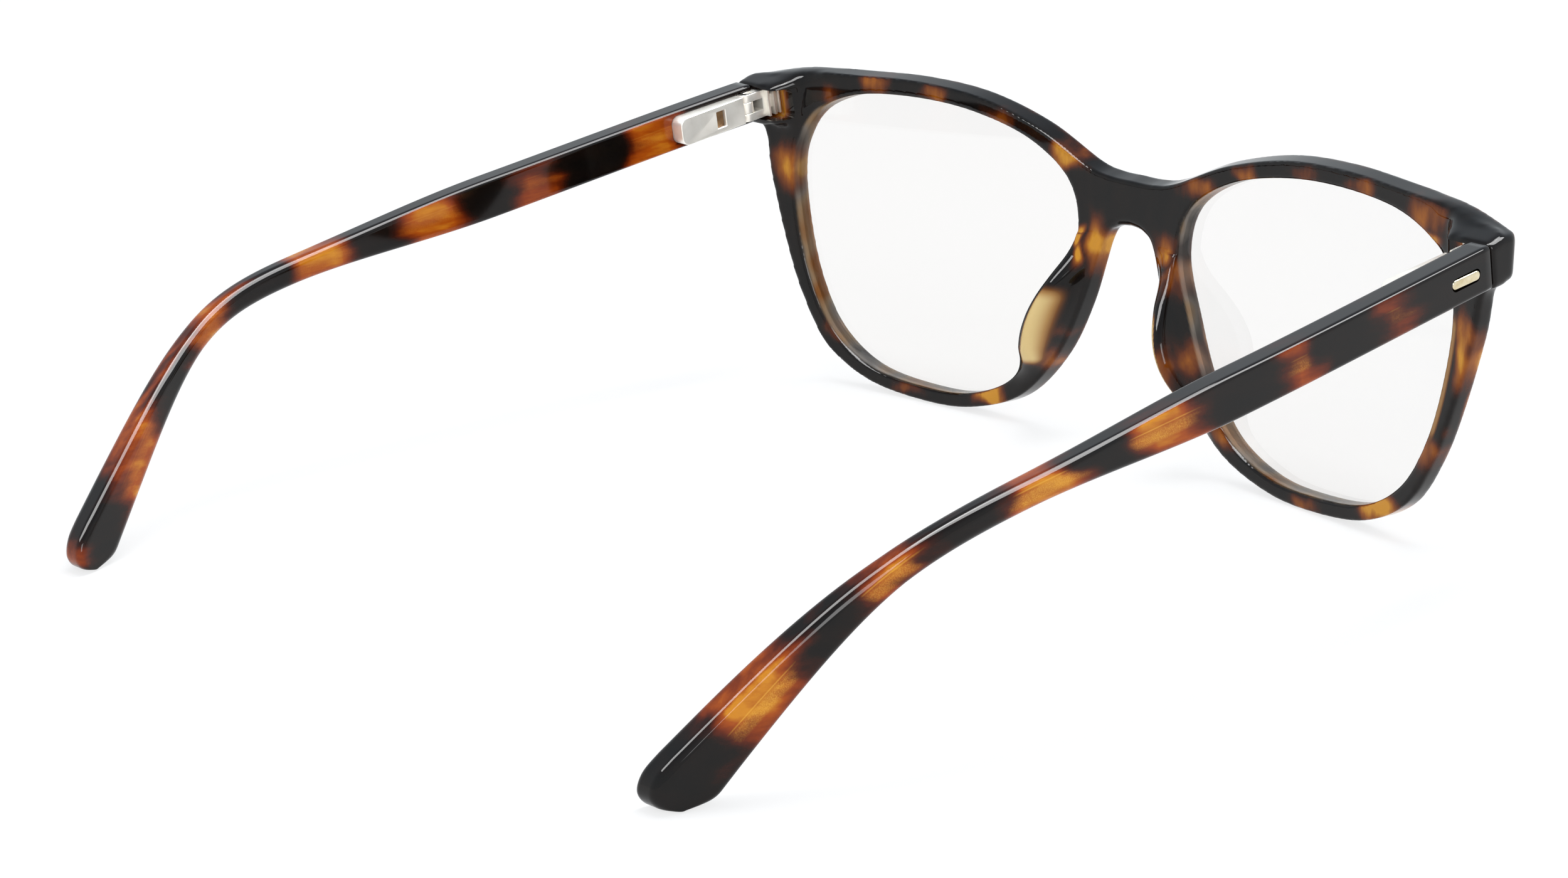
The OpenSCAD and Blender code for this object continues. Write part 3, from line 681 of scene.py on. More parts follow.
def rim_rings():
    """Sections of one rim, from the middle of the brow round to the middle of the bridge."""
    loop = spread(BROW) + END_FACE + spread(LOWER)
    last = len(loop) - 1
    rings = []
    for i, (out, t) in enumerate(loop):
        run = (loop[min(i + 1, last)][0] - loop[max(i - 1, 0)][0]).normalized()
        out_away = {0: Vector((0, 1)), last: Vector((0, -1))}.get(i, Vector((-run.y, run.x)))
        on_brow = t > BROW_END
        bridge = falls(out.x, BRIDGE_FADE, BRIDGE_FADE)
        end = rises(out.x, *END_ACROSS) * rises(out.y, *END_UP)
        bridge_r = FACE_R if on_brow else BRIDGE_R
        face_r = mix(mix(FACE_R, bridge_r, bridge), FACE_R if on_brow else END_FACE_R, end)
        back_r = mix(mix(BACK_R, bridge_r, bridge), END_BACK_R, end)
        draft = DRAFT * rises(t, BROW_END, DRAFT_FADE)
        eye = eye_at(t)
        pad = pad_reach(eye.y) if PAD_FROM <= t <= PAD_TO else 0
        rings.append(rim_section(eye, eye_away_at(t), out, out_away, face_r, back_r, pad, draft))
    for k in range(1, MIDDLE_SECTIONS + 1):
        t = mix(LOWER[-1][1], BROW[0][1] - EYE_COUNT, k / (MIDDLE_SECTIONS + 1))
        height = mix(BRIDGE_LOW + BRIDGE_R, BRIDGE_TOP - BRIDGE_R, (k - 0.5) / MIDDLE_SECTIONS)
        rings.append(rim_section(eye_at(t), eye_away_at(t), Vector((0, height)), Vector((-1, 0)), 0, 0))
    return rings


def half_front():
    """One rim with its half of the bridge, open towards the other half."""
    rings = rim_rings()
    bm = bmesh.new()
    start = ring = first_ring(bm, rings[0])
    for places in rings[1:]:
        ring = grow_ring(bm, ring, places)
    bmesh.ops.bridge_loops(bm, edges=ring_edges(bm, start) + ring_edges(bm, ring))
    flat = [f for f in bm.faces if all(abs(v.co.x) < MERGE for v in f.verts)]
    bmesh.ops.delete(bm, geom=flat, context="FACES")
    bmesh.ops.remove_doubles(bm, verts=bm.verts, dist=MERGE)
    return bm


# Plan of the endpiece, and the radius of its outer edges
END_PLAN = [(60, 4.8), (63, SEAM_Y), (HALF_W, SEAM_Y), (HALF_W, 7.6), (68.5, 6.2), (62, 4.4)]
END_EDGE_R = 0.9


def endpiece():
    """Block behind the end of the front that carries the hinge, with soft outer edges."""
    bm = bmesh.new()
    base = bm.faces.new([bm.verts.new((x, y, TEMPLE_TOP - END_H)) for x, y in END_PLAN])
    top = bmesh.ops.extrude_face_region(bm, geom=[base])["geom"]
    raised = [v for v in top if isinstance(v, bmesh.types.BMVert)]
    bmesh.ops.translate(bm, vec=(0, 0, END_H), verts=raised)
    for v in raised:
        v.co.z += END_RAMP * (SEAM_Y - v.co.y)
    bmesh.ops.recalc_face_normals(bm, faces=bm.faces)
    outer = [e for e in bm.edges if all(v.co.x > HALF_W - ON_FACE for v in e.verts) and runs_along(e, Y)]
    rounded(bm, outer, END_EDGE_R, 5)
    return bm


# Amber clouds of the front: place across and up, reach across and up, depth of colour
CLOUDS = [
    (55.7, -2.2, 3.0, 2.0, 0.5), (47.5, 0.6, 2.4, 2.4, 0.76), (36.6, 0.4, 3.0, 1.6, 0.74),
    (24.8, -1.0, 4.0, 1.6, 0.74), (13.6, -5.6, 2.4, 2.2, 0.72), (11.4, -4.2, 4.0, 2.4, 1.0),
    (5.6, -15.8, 2.2, 4.4, 1.0), (8.7, -14.8, 1.0, 1.9, 1.05), (8.2, -17.4, 1.0, 2.2, 1.1),
    (62.6, -13.4, 3.2, 4.0, 0.98), (39.5, -42.4, 3.4, 1.4, 0.62), (24.2, -40.2, 3.4, 2.6, 1.15),
    (13.4, -32.6, 2.0, 3.0, 0.76), (9.8, -30.4, 1.2, 3.0, 0.66), (53.6, -36.4, 1.8, 1.6, 0.66),
    (-13.2, -5.0, 4.0, 2.0, 0.78), (-22.1, -1.8, 2.8, 1.6, 0.74), (-32.6, 0.2, 2.8, 1.6, 0.64),
    (-43.5, 0.4, 3.0, 1.6, 0.76), (-55.8, -1.0, 4.4, 2.8, 0.8), (-56.2, -3.6, 3.2, 1.3, 1.05),
    (-7.3, -14.4, 2.4, 2.6, 0.92), (-9.6, -17.6, 1.8, 3.0, 0.76), (-12.8, -28.6, 3.0, 3.4, 0.78),
    (-21.2, -37.4, 3.6, 2.0, 0.86), (-35.8, -42.8, 3.4, 1.4, 0.74), (-50.2, -39.6, 4.4, 2.8, 1.25),
    (-64.2, -16.6, 1.7, 6.0, 1.05), (-67.4, -16.2, 1.1, 5.2, 0.84), (-58.7, -30.4, 2.8, 3.2, 0.82),
    (-62.5, -29.5, 1.2, 3.0, 0.6),
]
# How far their outlines wander, over which waves, and where they fade out
WANDER = 1.1
WANDER_WAVE = 3.2
WANDER_SHIFT = 40
CLOUD_RIM = 1.5
CLOUD_FADE = 1.35
# Amber of the face: mean, swing and wave; the clouds change this much with the depth
FACE_AMBER = 0.5
FACE_SWING = 0.75
FACE_WAVE = 6.5
CLOUD_TWIST = 0.6
# Steps to the face, to what looks up and into the block of the ends, and how much the last two darken; the
# darker top is painted shade
FACE_DEPTH = (1.6, 1.4)
FRONT_TOP = (0.55, 0.3)
BLOCK_ACROSS = (62, 2.5)
BLOCK_UP = (-8.5, 2)
FRONT_TOP_PAINTED_SHADE = 0.45
BLOCK_SHADE = 0.85
# The least amber, the amber of the freshly cut pocket, and a height far from any wire
LEAST_AMBER = 0.1
POCKET_AMBER = 0.9
NO_WIRE = 9
# The pocket's walls are told by this much slack, up to this far below its mouth
POCKET_SLACK = 0.1
POCKET_LIP = 0.4
# Painted light through the thin pad: least reach, turn to the nose on the left and right, steps to its edge,
# in its reach, down and up
PAD_LEAST = 0.3
PAD_TURN = {1: (-0.3, 0.3), -1: (0.02, 0.3)}
PAD_EDGE = (0.15, 0.85)
PAD_TALL = (1, 2)
PAD_DOWN = (-21, 3)
PAD_UP = (-35, 2)
# Painted light through the thin right rim: its strength, from where across, and the steps away from the
# lens, down and up
RIM_PAINTED_GLOW = 0.5
THIN_FROM = -54
THIN_NEAR = (1.5, 0.7)
THIN_DOWN = (-11, 3)
THIN_UP = (-31, 4)
# The cut wall's steps away from the lens and in from the back
WALL_NEAR = (0.5, 0.4)
WALL_DEPTH = (0.1, 0.5)

# The lens outline as close points, to measure from
TRACE_STEPS = 1440
EYE_TRACE = KDTree(TRACE_STEPS)
for trace_step in range(TRACE_STEPS):
    EYE_TRACE.insert(eye_at(EYE_COUNT * trace_step / TRACE_STEPS).to_3d(), trace_step)
EYE_TRACE.balance()


def cloud_depth(x, s, twist):
    """How amber the sheet is at a place, from 0 in the dark to 1."""
    x += WANDER * noise.noise(Vector((x, s, twist)) / WANDER_WAVE)
    s += WANDER * noise.noise(Vector((s, twist, x + WANDER_SHIFT)) / WANDER_WAVE)
    deepest = 0
    for at_x, at_s, wide, high, depth in CLOUDS:
        away = math.hypot((x - at_x) / wide, (s - at_s) / high)
        deepest = max(deepest, depth * falls(away, CLOUD_RIM, CLOUD_FADE))
    return deepest


def front_amber(x, s, depth, normal):
    """Clouds on the back; on the face they run together; the top is darkened as painted shade and the ends
    stay darker.
    """
    on_face = rises(depth, *FACE_DEPTH)
    upward = rises(normal.z, *FRONT_TOP)
    end_block = rises(abs(x), *BLOCK_ACROSS) * rises(s, *BLOCK_UP)
    drift = FACE_AMBER + FACE_SWING * noise.noise(Vector((x, s, depth)) / FACE_WAVE)
    amber = max(cloud_depth(x, s, CLOUD_TWIST * depth), drift * on_face)
    # Faces that look up lose amber as painted shade
    return amber * (1 - FRONT_TOP_PAINTED_SHADE * upward) * (1 - BLOCK_SHADE * end_block * (1 - on_face))


def in_pocket(p):
    """Whether a place lies on the walls of a hinge pocket."""
    x, y, z = POCKET
    across = x[0] - POCKET_SLACK < abs(p.x) < x[1] + POCKET_SLACK
    along = y[0] - POCKET_SLACK < p.y < SEAM_Y - POCKET_LIP
    return across and along and z[0] - POCKET_SLACK < p.z < z[1] + POCKET_SLACK


def pad_painted_glow(x, s, depth, normal):
    """Painted light through the thin nose pad: most at its edge, on the side that faces the nose."""
    reach = max(pad_reach(s), PAD_LEAST)
    side = 1 if x > 0 else -1
    nose_side = rises(-side * normal.x, *PAD_TURN[side])
    edge = rises(-depth / reach, *PAD_EDGE) * rises(reach, *PAD_TALL)
    return edge * nose_side * falls(s, *PAD_DOWN) * rises(s, *PAD_UP)


def rim_painted_glow(x, s, from_eye):
    """The outer right rim lets light through beside the lens; this light is painted into its colour."""
    if x >= THIN_FROM:
        return 0
    return RIM_PAINTED_GLOW * falls(from_eye, *THIN_NEAR) * falls(s, *THIN_DOWN) * rises(s, *THIN_UP)


def tortoise_front(mesh):
    """Paints the clouds, the cut wall round the lens and painted light through the thin places."""
    rows = []
    for v in mesh.vertices:
        x, s, depth = front_place(v.co)
        from_eye = EYE_TRACE.find((abs(x), s, 0))[2]
        amber = LEAST_AMBER + (1 - LEAST_AMBER) * front_amber(x, s, depth, v.normal)
        tooled = falls(from_eye, *WALL_NEAR) * rises(depth, *WALL_DEPTH)
        # Painted light through the thin nose pad and right rim
        pale = max(pad_painted_glow(x, s, depth, v.normal), rim_painted_glow(x, s, from_eye))
        rows.append((POCKET_AMBER if in_pocket(v.co) else amber, NO_WIRE, 0, tooled, pale))
    painted(mesh, rows)


# Fineness of the skin, and how strongly and often the skin, the joint and then all of it are smoothed
SKIN_VOXEL = 0.26
SKIN_EASE = (0.5, 8)
MELT_EASE = (0.5, 40)
LAST_EASE = (0.3, 1)
# Steps round the joint that melts, and the one past which the skin no longer goes back to the rims
MELT_FROM = (56.5, 2.5)
MELT_TO = (66, 2)
MELT_UP = (-11, 2)
MELT_DEPTH = (1.8, 0.8)
SKIN_FREE = (54, 3.5)
# Radius at the bottom of the hinge pocket
POCKET_R = 0.7


def joined_rims():
    """Rims and endpieces under one skin, and the bare rims to lay it back on."""
    whole = bmesh.new()
    for side in SIDES.values():
        added(whole, half_front(), side)
    bmesh.ops.remove_doubles(whole, verts=whole.verts, dist=JOIN)
    bmesh.ops.recalc_face_normals(whole, faces=whole.faces)
    rims = BVHTree.FromBMesh(whole)
    for side in SIDES.values():
        added(whole, endpiece(), side)
    skin = shaped_by(new_object(whole, "front"), "REMESH", mode="VOXEL", voxel_size=SKIN_VOXEL)
    eased(skin, skin.verts, *SKIN_EASE)
    return skin, rims


def melt_joints(skin, rims):
    """Melts the joint of rim and endpiece into a hollow; elsewhere the skin goes back to the rims."""
    joint = {}
    for v in skin.verts:
        x, s, depth = front_place(v.co)
        share = rises(abs(x), *MELT_FROM) * falls(abs(x), *MELT_TO)
        share *= rises(s, *MELT_UP) * falls(depth, *MELT_DEPTH)
        if share > 0:
            joint[v] = (share, v.co.copy())
    eased(skin, list(joint), *MELT_EASE)
    for v, (share, before) in joint.items():
        v.co = before.lerp(v.co, share)
    for v in skin.verts:
        on_rim = rims.find_nearest(v.co)[0]
        v.co = on_rim.lerp(v.co, rises(abs(v.co.x), *SKIN_FREE))
    eased(skin, skin.verts, *LAST_EASE)


def pocket_cutter(reach):
    """Boxes for both hinge pockets, with a rounded bottom."""
    cutter = bmesh.new()
    bottom = reach[Y][0] + ON_FACE
    for side in SIDES.values():
        added(cutter, rounded_box(*reach, lambda p: p.y < bottom, POCKET_R, 5), side)
    return cutter


def front():
    """Both rims and endpieces grown together and eased, then cut for the hinges."""
    skin, rims = joined_rims()
    melt_joints(skin, rims)
    for reach in (POCKET, POCKET_MOUTH):
        skin = carved(skin, pocket_cutter(reach))
    return skin


finished(front(), "front_rims", "front", ["front_frame", "nose_pad_left", "nose_pad_right"],
         FRONT_ACETATE, tortoise_front)


# The lenses

LENS_STEPS = 108
# Rings of the lens out to its edge, as shares of its size
LENS_RINGS = (0.12, 0.3, 0.5, 0.7, 0.86, 0.97, 1)


def lens():
    """Thin curved lens whose edge lies in the groove of the rim."""
    edge = [eye_at(EYE_COUNT * k / LENS_STEPS, LENS_GRIP) for k in range(LENS_STEPS)]
    middle = sum(edge, Vector((0, 0))) / LENS_STEPS

    def layer(share, depth):
        return [on_front(*(middle + share * (p - middle)), depth) for p in edge]

    steps = [(share, LENS_SET) for share in LENS_RINGS]
    steps += [(share, LENS_SET + LENS_T) for share in reversed(LENS_RINGS)]
    return lofted([layer(*step) for step in steps])


for name, side in SIDES.items():
    shape = lens()
    mirrored(shape, side)
    finished(shape, f"clear_lens_{name}", "front", [f"lens_{name}"], LENS)


# The temples

# Radius of the long edges in front and on the hook, and where the one turns into the other
EDGE_R = 0.6
HOOK_EDGE_R = 1.2
EDGE_TURN_Y = 60
EDGE_TURN_LEN = 45
# The joint's end is softened by two short rings: place behind the end and drop of the sides
END_RINGS = ((0, 0.22), (0.07, 0.07))
END_FULL = 0.25
# Steps in each rounded edge, and between them as shares of the top and of a side
CORNER_STEPS = 8
TOP_SHARES = (0.07, 0.5, 0.93)
SIDE_SHARES = (0.03, 0.2, 0.4, 0.6, 0.8, 0.97)
# No radius takes more than this share of a half width
ROUND_SHARE = 0.98
HOOK_SECTIONS = 110
TIP_SECTIONS = 40
# Upper and lower edge of the rounded tip, from the hook to the level end
TIP_UPPER = [(TIP_Y - 0.9, FLOOR_Z + 4.5), (TIP_Y, FLOOR_Z + 2.5), (TIP_Y - 0.6, FLOOR_Z + 0.9),
             (TIP_Y - 2.2, FLOOR_Z + 0.1)]
TIP_LOWER = [(TIP_Y - 6.4, FLOOR_Z + 0.22), (TIP_Y - 5.2, FLOOR_Z + 0.02), (TIP_Y - 4.2, FLOOR_Z),
             (TIP_Y - 3.2, FLOOR_Z)]
HOOK_END = TIP_Y - 5.2
# The edges' way into the tip is taken from this far before the hook's end
TIP_LEAD = 2
SWELL_POWER = 1.3


def soft_run(y, at, soft):
    """Length past a place, setting in softly."""
    return soft * math.log(1 + math.exp((y - at) / soft))


def slope(y):
    """How steeply the temple falls at y."""
    return HOOK_SLOPE / (1 + math.exp((BEND_Y - y) / BEND_SOFT))


def middle_z(y):
    """Height of the temple's middle line at y."""
    sag = SAG * rises(y, TEMPLE_Y, SAG_LEN)
    return TEMPLE_MID - sag - HOOK_SLOPE * soft_run(y, BEND_Y, BEND_SOFT)


def half_height(y):
    """Half the temple's height, which tapers to the bend and grows again to the tip."""
    swell = max(0, (y - BEND_Y) / HOOK_LEN) ** SWELL_POWER
    straight = mix(TEMPLE_H, BEND_H, rises(y, TEMPLE_Y + TAPER_FROM, TAPER_LEN))
    return (straight + (TIP_H - BEND_H) * swell) / 2


def outer_x(y):
    """The temple's outer side, which bows out along the head and turns in behind the ear."""
    bow = min(1, (y - TEMPLE_Y) / BOW_LEN)
    return TEMPLE_X + BOW * (1 - (1 - bow) ** 2) - HOOK_TURN * soft_run(y, TURN_Y, TURN_SOFT)


def thickness(y):
    """The temple's thickness, with the fuller tip."""
    even = mix(TEMPLE_T, TIP_T, (y - TEMPLE_Y) / (TIP_Y - TEMPLE_Y))
    return even + TIP_SWELL * rises(y, SWELL_Y, SWELL_LEN)


def edge_points(y):
    """Upper and lower edge of the temple at y, square to its middle line."""
    lean = math.atan(slope(y))
    across = Vector((math.sin(lean), math.cos(lean))) * half_height(y)
    middle = Vector((y, middle_z(y)))
    return middle + across, middle - across


def rounded_outline(half_w, half_h, r):
    """Places round a rectangle with rounded corners, closer together near them."""
    r_w, r_h = min(r, half_w * ROUND_SHARE), min(r, half_h * ROUND_SHARE)
    corners = ((1, 1), (-1, 1), (-1, -1), (1, -1))
    places = []
    for turn, (sx, sz) in enumerate(corners):
        angles = [math.pi / 2 * (turn + k / CORNER_STEPS) for k in range(CORNER_STEPS + 1)]
        places += [(sx * (half_w - r_w) + r_w * math.cos(a), sz * (half_h - r_h) + r_h * math.sin(a))
                   for a in angles]
        next_x, next_z = corners[(turn + 1) % 4]
        w, h = places[-1]
        to_w = next_x * (half_w - r_w) + r_w * math.cos(angles[-1])
        to_h = next_z * (half_h - r_h) + r_h * math.sin(angles[-1])
        shares = TOP_SHARES if turn % 2 == 0 else SIDE_SHARES
        places += [(mix(w, to_w, share), mix(h, to_h, share)) for share in shares]
    return places


def temple_section(upper, lower, shrink=0):
    """Places round a rounded section of the temple between its two edges, seen from the side."""
    middle, across = (upper + lower) / 2, (upper - lower) / 2
    reach = across.length
    half_h = reach - shrink
    half_w = thickness(middle.x) / 2 - shrink
    r = mix(EDGE_R, HOOK_EDGE_R, rises(middle.x, EDGE_TURN_Y, EDGE_TURN_LEN))
    r = min(r, half_w * ROUND_SHARE)
    if half_h < r:
        half_w -= r - math.sqrt(r * r - (r - half_h) ** 2)
    found = []
    for w, h in rounded_outline(half_w, half_h, r):
        y, z = middle + across * (h / max(reach, 1e-6))
        found.append(Vector((outer_x(y) - thickness(y) / 2 + w, y, z)))
    return found


def temple_blank():
    """The temple from its joint to its tip, before anything is let into it."""
    sections = [temple_section(*edge_points(TEMPLE_Y + back), drop) for back, drop in END_RINGS]
    for k in range(HOOK_SECTIONS + 1):
        y = mix(TEMPLE_Y + END_FULL, HOOK_END, k / HOOK_SECTIONS)
        sections.append(temple_section(*edge_points(y)))
    uppers, lowers = zip(edge_points(HOOK_END - TIP_LEAD), edge_points(HOOK_END))
    uppers += tuple(Vector(p) for p in TIP_UPPER)
    lowers += tuple(Vector(p) for p in TIP_LOWER)
    for k in range(1, TIP_SECTIONS + 1):
        t = 1 + len(TIP_UPPER) * k / TIP_SECTIONS
        sections.append(temple_section(curve_point(uppers, t), curve_point(lowers, t)))
    return lofted(sections)


# Room round the hinge box, the radius at its end, and how far the cutters reach past the temple
SEAT_ROOM = 0.05
SEAT_R = 1.2
SEAT_PAST = 1
INLAY_PAST = 2


def hinge_seat():
    """Room for the hinge box, open to the temple's inner side and to its front end."""
    half = BOX_H / 2 + SEAT_ROOM
    across = (BOX_X - SEAT_PAST, BOX_X + BOX_T + SEAT_ROOM)
    along = (TEMPLE_Y - SEAT_PAST, BOX_END + SEAT_ROOM)
    rear = along[1] - ON_FACE
    return rounded_box(across, along, (HINGE_Z - half, HINGE_Z + half), lambda p: p.y > rear, SEAT_R, 6)


def inlay_seat():
    """Slot a little wider than the inlay, so a dark line shows round it."""
    r = INLAY_H / 2 + INLAY_ROOM
    across = (TEMPLE_X - INLAY_SEAT, TEMPLE_X + INLAY_PAST)
    along = (INLAY_Y - INLAY_ROOM, INLAY_Y + INLAY_LEN + INLAY_ROOM)
    return rounded_box(across, along, (HINGE_Z - r, HINGE_Z + r), lambda p: True, r * ROUND_SHARE, 8)


# Amber bands of each temple: start, end, depth of colour, and how it grows with each millimetre upwards
BANDS = {
    "left": [(22.8, 33.2, 0.86, 0), (44.2, 52.8, 0.64, -0.04), (61.4, 72, 0.9, 0), (81.2, 90.8, 0.94, 0.02),
             (101.2, 109.6, 0.88, 0.03), (118.2, 127.6, 0.88, 0), (135.2, 142, 0.56, 0.15)],
    "right": [(24.4, 31.4, 0.62, 0), (42, 49, 0.68, -0.02), (62.6, 74, 0.88, 0.04), (82.4, 93.6, 0.98, 0.04),
              (103.6, 112.8, 0.8, 0.12), (119.2, 128.6, 0.88, 0.1)],
}
# Their ends: waver, its wave, lean with the height, and fade before and after the step to the hook
BAND_WAVER = 2.4
BAND_WAVE = 4.5
BAND_LEAN = {"left": 0.2, "right": 0.5}
STRAIGHT_FADE = 6.2
HOOK_FADE = 7.5
HOOK_STEP = (95, 10)
# Painted shade on the top: how much darker it is on the straight and on the hook, and the step between them
TEMPLE_TOP_PAINTED_SHADE = 0.8
HOOK_TOP_PAINTED_SHADE = {"left": 0.1, "right": 0.34}
DARK_STEP = (70, 14)
# Streaks on the top of the hook: strength on each side, mean, swing, draw and wave, first and last step
STREAKS = {"left": 1, "right": 0.3}
STREAK_MEAN = 0.62
STREAK_SWING = 0.5
STREAK_DRAW = Vector((3, 0.35, 0))
STREAK_WAVE = 3
STREAK_FROM = (94, 6)
STREAK_TO = (129, 6)
# Steps to what looks up and to what looks outwards
TEMPLE_UP = (0.5, 0.35)
TEMPLE_OUT = (0, 0.5)
# The bands' share of the amber, and how much of the wire shows on the inner side
BAND_AMBER = 0.86
INNER_WIRE = 0.25


def band_depth(name, y, waver, rise):
    """How amber the bands are at a place; on the hook they fade more slowly."""
    fade = mix(STRAIGHT_FADE, HOOK_FADE, rises(y, *HOOK_STEP))
    depth = 0
    for start, end, strength, tilt in BANDS[name]:
        inside = min(y + waver - start, end - y - waver)
        depth = max(depth, (strength + tilt * rise) * ease(0.5 + inside / fade))
    return depth


def top_streak(name, x, y):
    """Long streaks on the top of the hook."""
    streak = STREAK_MEAN + STREAK_SWING * noise.noise(STREAK_DRAW * Vector((x, y, 0)) / STREAK_WAVE)
    return STREAKS[name] * streak * rises(y, *STREAK_FROM) * falls(y, *STREAK_TO)


def tortoise_temple(mesh, name):
    """Paints the amber bands and the wire; the top is darkened as painted shade, most on the straight."""
    rows = []
    side = SIDES[name]
    for v in mesh.vertices:
        x, y, z = side * v.co.x, v.co.y, v.co.z
        rise = (z - middle_z(y)) / math.hypot(1, slope(y))
        waver = BAND_WAVER * noise.noise(Vector((x, y, 1.6 * z)) / BAND_WAVE) - BAND_LEAN[name] * rise
        upward = rises(v.normal.z, *TEMPLE_UP)
        outward = rises(side * v.normal.x, *TEMPLE_OUT)
        depth = band_depth(name, y, waver, rise)
        # Faces that look up lose amber as painted shade
        depth *= 1 - upward * mix(TEMPLE_TOP_PAINTED_SHADE, HOOK_TOP_PAINTED_SHADE[name], rises(y, *DARK_STEP))
        depth = max(depth, upward * top_streak(name, x, y))
        rows.append((LEAST_AMBER + BAND_AMBER * depth, rise, mix(INNER_WIRE, 1, outward), 0, 0))
    painted(mesh, rows)


for name, side in SIDES.items():
    shape = carved(carved(temple_blank(), hinge_seat()), inlay_seat())
    mirrored(shape, side)
    finished(shape, f"temple_arm_{name}", f"temple_{name}_body", [f"temple_{name}"],
             TEMPLE_ACETATE, lambda mesh: tortoise_temple(mesh, name))


# Metal pieces are the frame's own, with their edges broken as plating and polishing leave them

# Faces that meet flatter than this become one, and edges sharper than this are broken
FLAT = math.radians(1)
SHARP = math.radians(35)
# How wide the edges of each piece are broken
BOX_EDGE = 0.1
YOKE_EDGE = 0.08
TONGUE_EDGE = 0.06
SCREW_EDGE = 0.05
INLAY_EDGE = 0.24
# Chamfer round the open face of the hinge box, and the width of the rim that has it
BOX_CHAMFER = 0.42
BOX_RIM = 0.9
# Thin plates of the yoke that grip the acetate: start, thickness and reach across
PLATES_Y = (7.35, 8.4)
PLATE_T = 0.3
PLATE_X = (64.9, 67.7)


def frame_copy(cad_node):
    """A merged copy of a frame piece, in the frame of the open temples."""
    bm = bmesh.new()
    bm.from_mesh(nodes[cad_node].data)
    bmesh.ops.transform(bm, matrix=TO_TEMPLE, verts=bm.verts)
    bmesh.ops.remove_doubles(bm, verts=bm.verts, dist=MERGE)
    return bm


def softened(cad_node, width, segments=2, chamfer=None):
    """A copy of a frame piece with every sharp edge rounded; some edges are chamfered first."""
    bm = frame_copy(cad_node)
    bmesh.ops.dissolve_limit(bm, angle_limit=FLAT, verts=bm.verts, edges=bm.edges)
    if chamfer:
        chosen = [e for e in bm.edges if all(chamfer(v.co) for v in e.verts)]
        rounded(bm, chosen, BOX_CHAMFER, 1, clamp=True)
    sharp = [e for e in bm.edges if len(e.link_faces) == 2 and e.calc_face_angle() > SHARP]
    rounded(bm, sharp, width, segments, clamp=True)
    return bm


def box_rim(p):
    """Whether a place lies on the outline of the hinge box's open face."""
    on_face = abs(abs(p.x) - BOX_X) < ON_FACE
    return on_face and (abs(p.z - HINGE_Z) > BOX_H / 2 - BOX_RIM or p.y > BOX_END - BOX_RIM)


def yoke(name):
    """The frame's yoke with two more of the thin plates that grip the acetate."""
    bm = softened(f"hinge_yoke_{name}", YOKE_EDGE)
    across = sorted(SIDES[name] * x for x in PLATE_X)
    for start in PLATES_Y:
        box_shape(bm, across, (start, start + PLATE_T), (HINGE_Z - BOX_H / 2, HINGE_Z + BOX_H / 2))
    return bm


def coil_spring(name, temple):
    """The frame's coil, which the cap of the pull rod presses against the stop as the box slides back."""
    shape = frame_copy(f"flex_spring_{name}")
    spring = finished(shape, f"coil_spring_{name}", temple, [f"flex_spring_{name}"],
                      SPRING_STEEL)
    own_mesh(spring)


for name in SIDES:
    temple = f"temple_{name}_body"
    finished(softened(f"hinge_box_{name}", BOX_EDGE, 2, box_rim), f"spring_box_{name}", temple,
             [f"hinge_box_{name}"], NICKEL)
    finished(yoke(name), f"yoke_{name}", "front", [f"hinge_yoke_{name}"], NICKEL)
    finished(softened(f"hinge_slider_{name}", TONGUE_EDGE), f"tongue_{name}", f"slider_{name}",
             [f"hinge_slider_{name}"], NICKEL)
    finished(softened(f"hinge_screw_{name}", SCREW_EDGE), f"screw_{name}", "front",
             [f"hinge_screw_{name}"], NICKEL)
    finished(softened(f"temple_inlay_{name}", INLAY_EDGE, 4), f"inlay_{name}", temple,
             [f"temple_inlay_{name}"], PALE_GOLD)
    coil_spring(name, temple)
    for part, material in (("spring_rod", SPRING_STEEL), ("spring_stop", BRONZE), ("temple_core", BRASS)):
        carried = nodes[f"{part}_{name}"]
        carried.data.materials.clear()
        carried.data.materials.append(material)


# Floor, light and camera, in metres

FLOOR_HALF = 6
# Share of its own white that the floor shows, so that the shadow stays faint
FLOOR_WHITE = 0.76


def pale_floor():
    """Matt white studio sheet; it shows white to the camera and to reflections, and keeps the shadow."""
    material, tree = new_material("studio_sheet")
    path = node(tree, "ShaderNodeLightPath")
    seen = path.outputs["Is Camera Ray"]
    for ray in ("Is Glossy Ray", "Is Transmission Ray"):
        seen = node(tree, "ShaderNodeMath", {0: seen, 1: path.outputs[ray]}, operation="MAXIMUM")
    share = node(tree, "ShaderNodeMath", {0: seen, 1: FLOOR_WHITE}, operation="MULTIPLY")
    matt = node(tree, "ShaderNodeBsdfDiffuse", {"Color": colour("#f6f6f6")})
    white = node(tree, "ShaderNodeEmission", {"Color": colour("#ffffff"), "Strength": 1.0})
    both = node(tree, "ShaderNodeMixShader", {0: share, 1: matt, 2: white})
    node(tree, "ShaderNodeOutputMaterial", {"Surface": both})
    return material


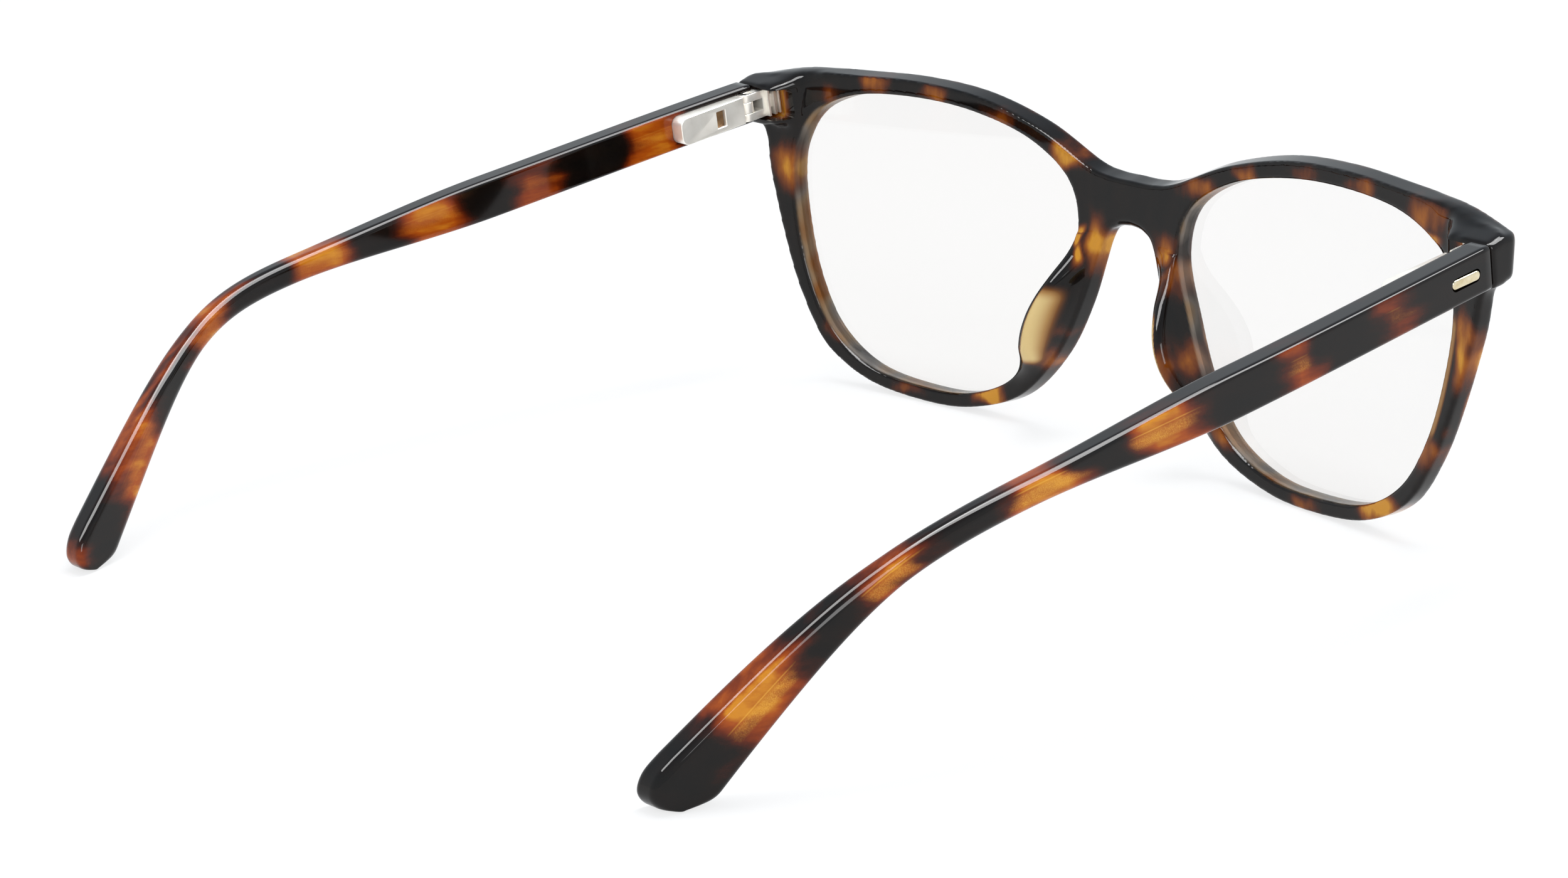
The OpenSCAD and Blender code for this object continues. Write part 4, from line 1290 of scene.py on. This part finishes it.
def studio_sky():
    """Even pale surroundings, a little darker high up."""
    world = bpy.data.worlds.new("studio")
    bpy.context.scene.world = world
    world.use_nodes = True
    tree = world.node_tree
    tree.nodes.clear()
    way = node(tree, "ShaderNodeTexCoord").outputs["Generated"]
    height = node(tree, "ShaderNodeSeparateXYZ", {0: way}).outputs["Z"]
    tone = node(tree, "ShaderNodeValToRGB", {"Fac": height})
    set_ramp(tone, [(0.0, "#f4f9fc"), (0.3, "#eef5fa"), (0.55, "#dfe8f0"), (0.8, "#b4c0cc"),
                    (1.0, "#dfe4e9")])
    air = node(tree, "ShaderNodeBackground", {"Color": tone, "Strength": 1.0})
    node(tree, "ShaderNodeOutputWorld", {"Surface": air})


def softbox(name, place, aim, size, power):
    """A rectangular lamp at a place, turned to the aim."""
    lamp = bpy.data.lights.new(name, "AREA")
    lamp.shape = "RECTANGLE"
    lamp.size, lamp.size_y = size
    lamp.energy = power
    made = bpy.data.objects.new(name, lamp)
    bpy.context.scene.collection.objects.link(made)
    made.location = place
    made.rotation_euler = (Vector(aim) - Vector(place)).to_track_quat("-Z", "Y").to_euler()
    return made


sheet = bmesh.new()
bmesh.ops.create_grid(sheet, x_segments=1, y_segments=1, size=FLOOR_HALF)
floor = new_object(sheet, "floor")
floor.data.materials.append(pale_floor())

studio_sky()
softbox("overhead_box", (0, -0.15, 0.85), (0, 0, 0.02), (0.2, 0.7), 5)
softbox("rear_box", (-0.9, 0.5, 0.5), (0, 0, 0.02), (0.4, 0.4), 4)
# This one shows in polished edges only and throws no light on anything matt
edge_box = softbox("edge_box", (-0.01, 0.2, 0.82), (0.04, 0.29, 0.02), (0.4, 2.1), 42)
edge_box.visible_diffuse = False

# The camera stands behind the glasses, above and on the wearer's right
CAMERA_PLACE = (-0.396742, 0.336916, 0.171929)
CAMERA_RIGHT = Vector((-0.655693, -0.754587, -0.025757))
CAMERA_UP = Vector((0.201399, -0.207679, 0.957240))

camera_data = bpy.data.cameras.new("camera")
camera = bpy.data.objects.new("camera", camera_data)
bpy.context.scene.collection.objects.link(camera)
camera_data.sensor_width = 36
camera_data.lens = 98.70
camera_data.clip_start = 0.01
turn = Matrix((CAMERA_RIGHT, CAMERA_UP, CAMERA_RIGHT.cross(CAMERA_UP))).transposed().to_4x4()
camera.matrix_world = Matrix.Translation(CAMERA_PLACE) @ turn
bpy.context.scene.camera = camera

bpy.context.scene.view_settings.view_transform = "Standard"

bpy.context.view_layer.update()
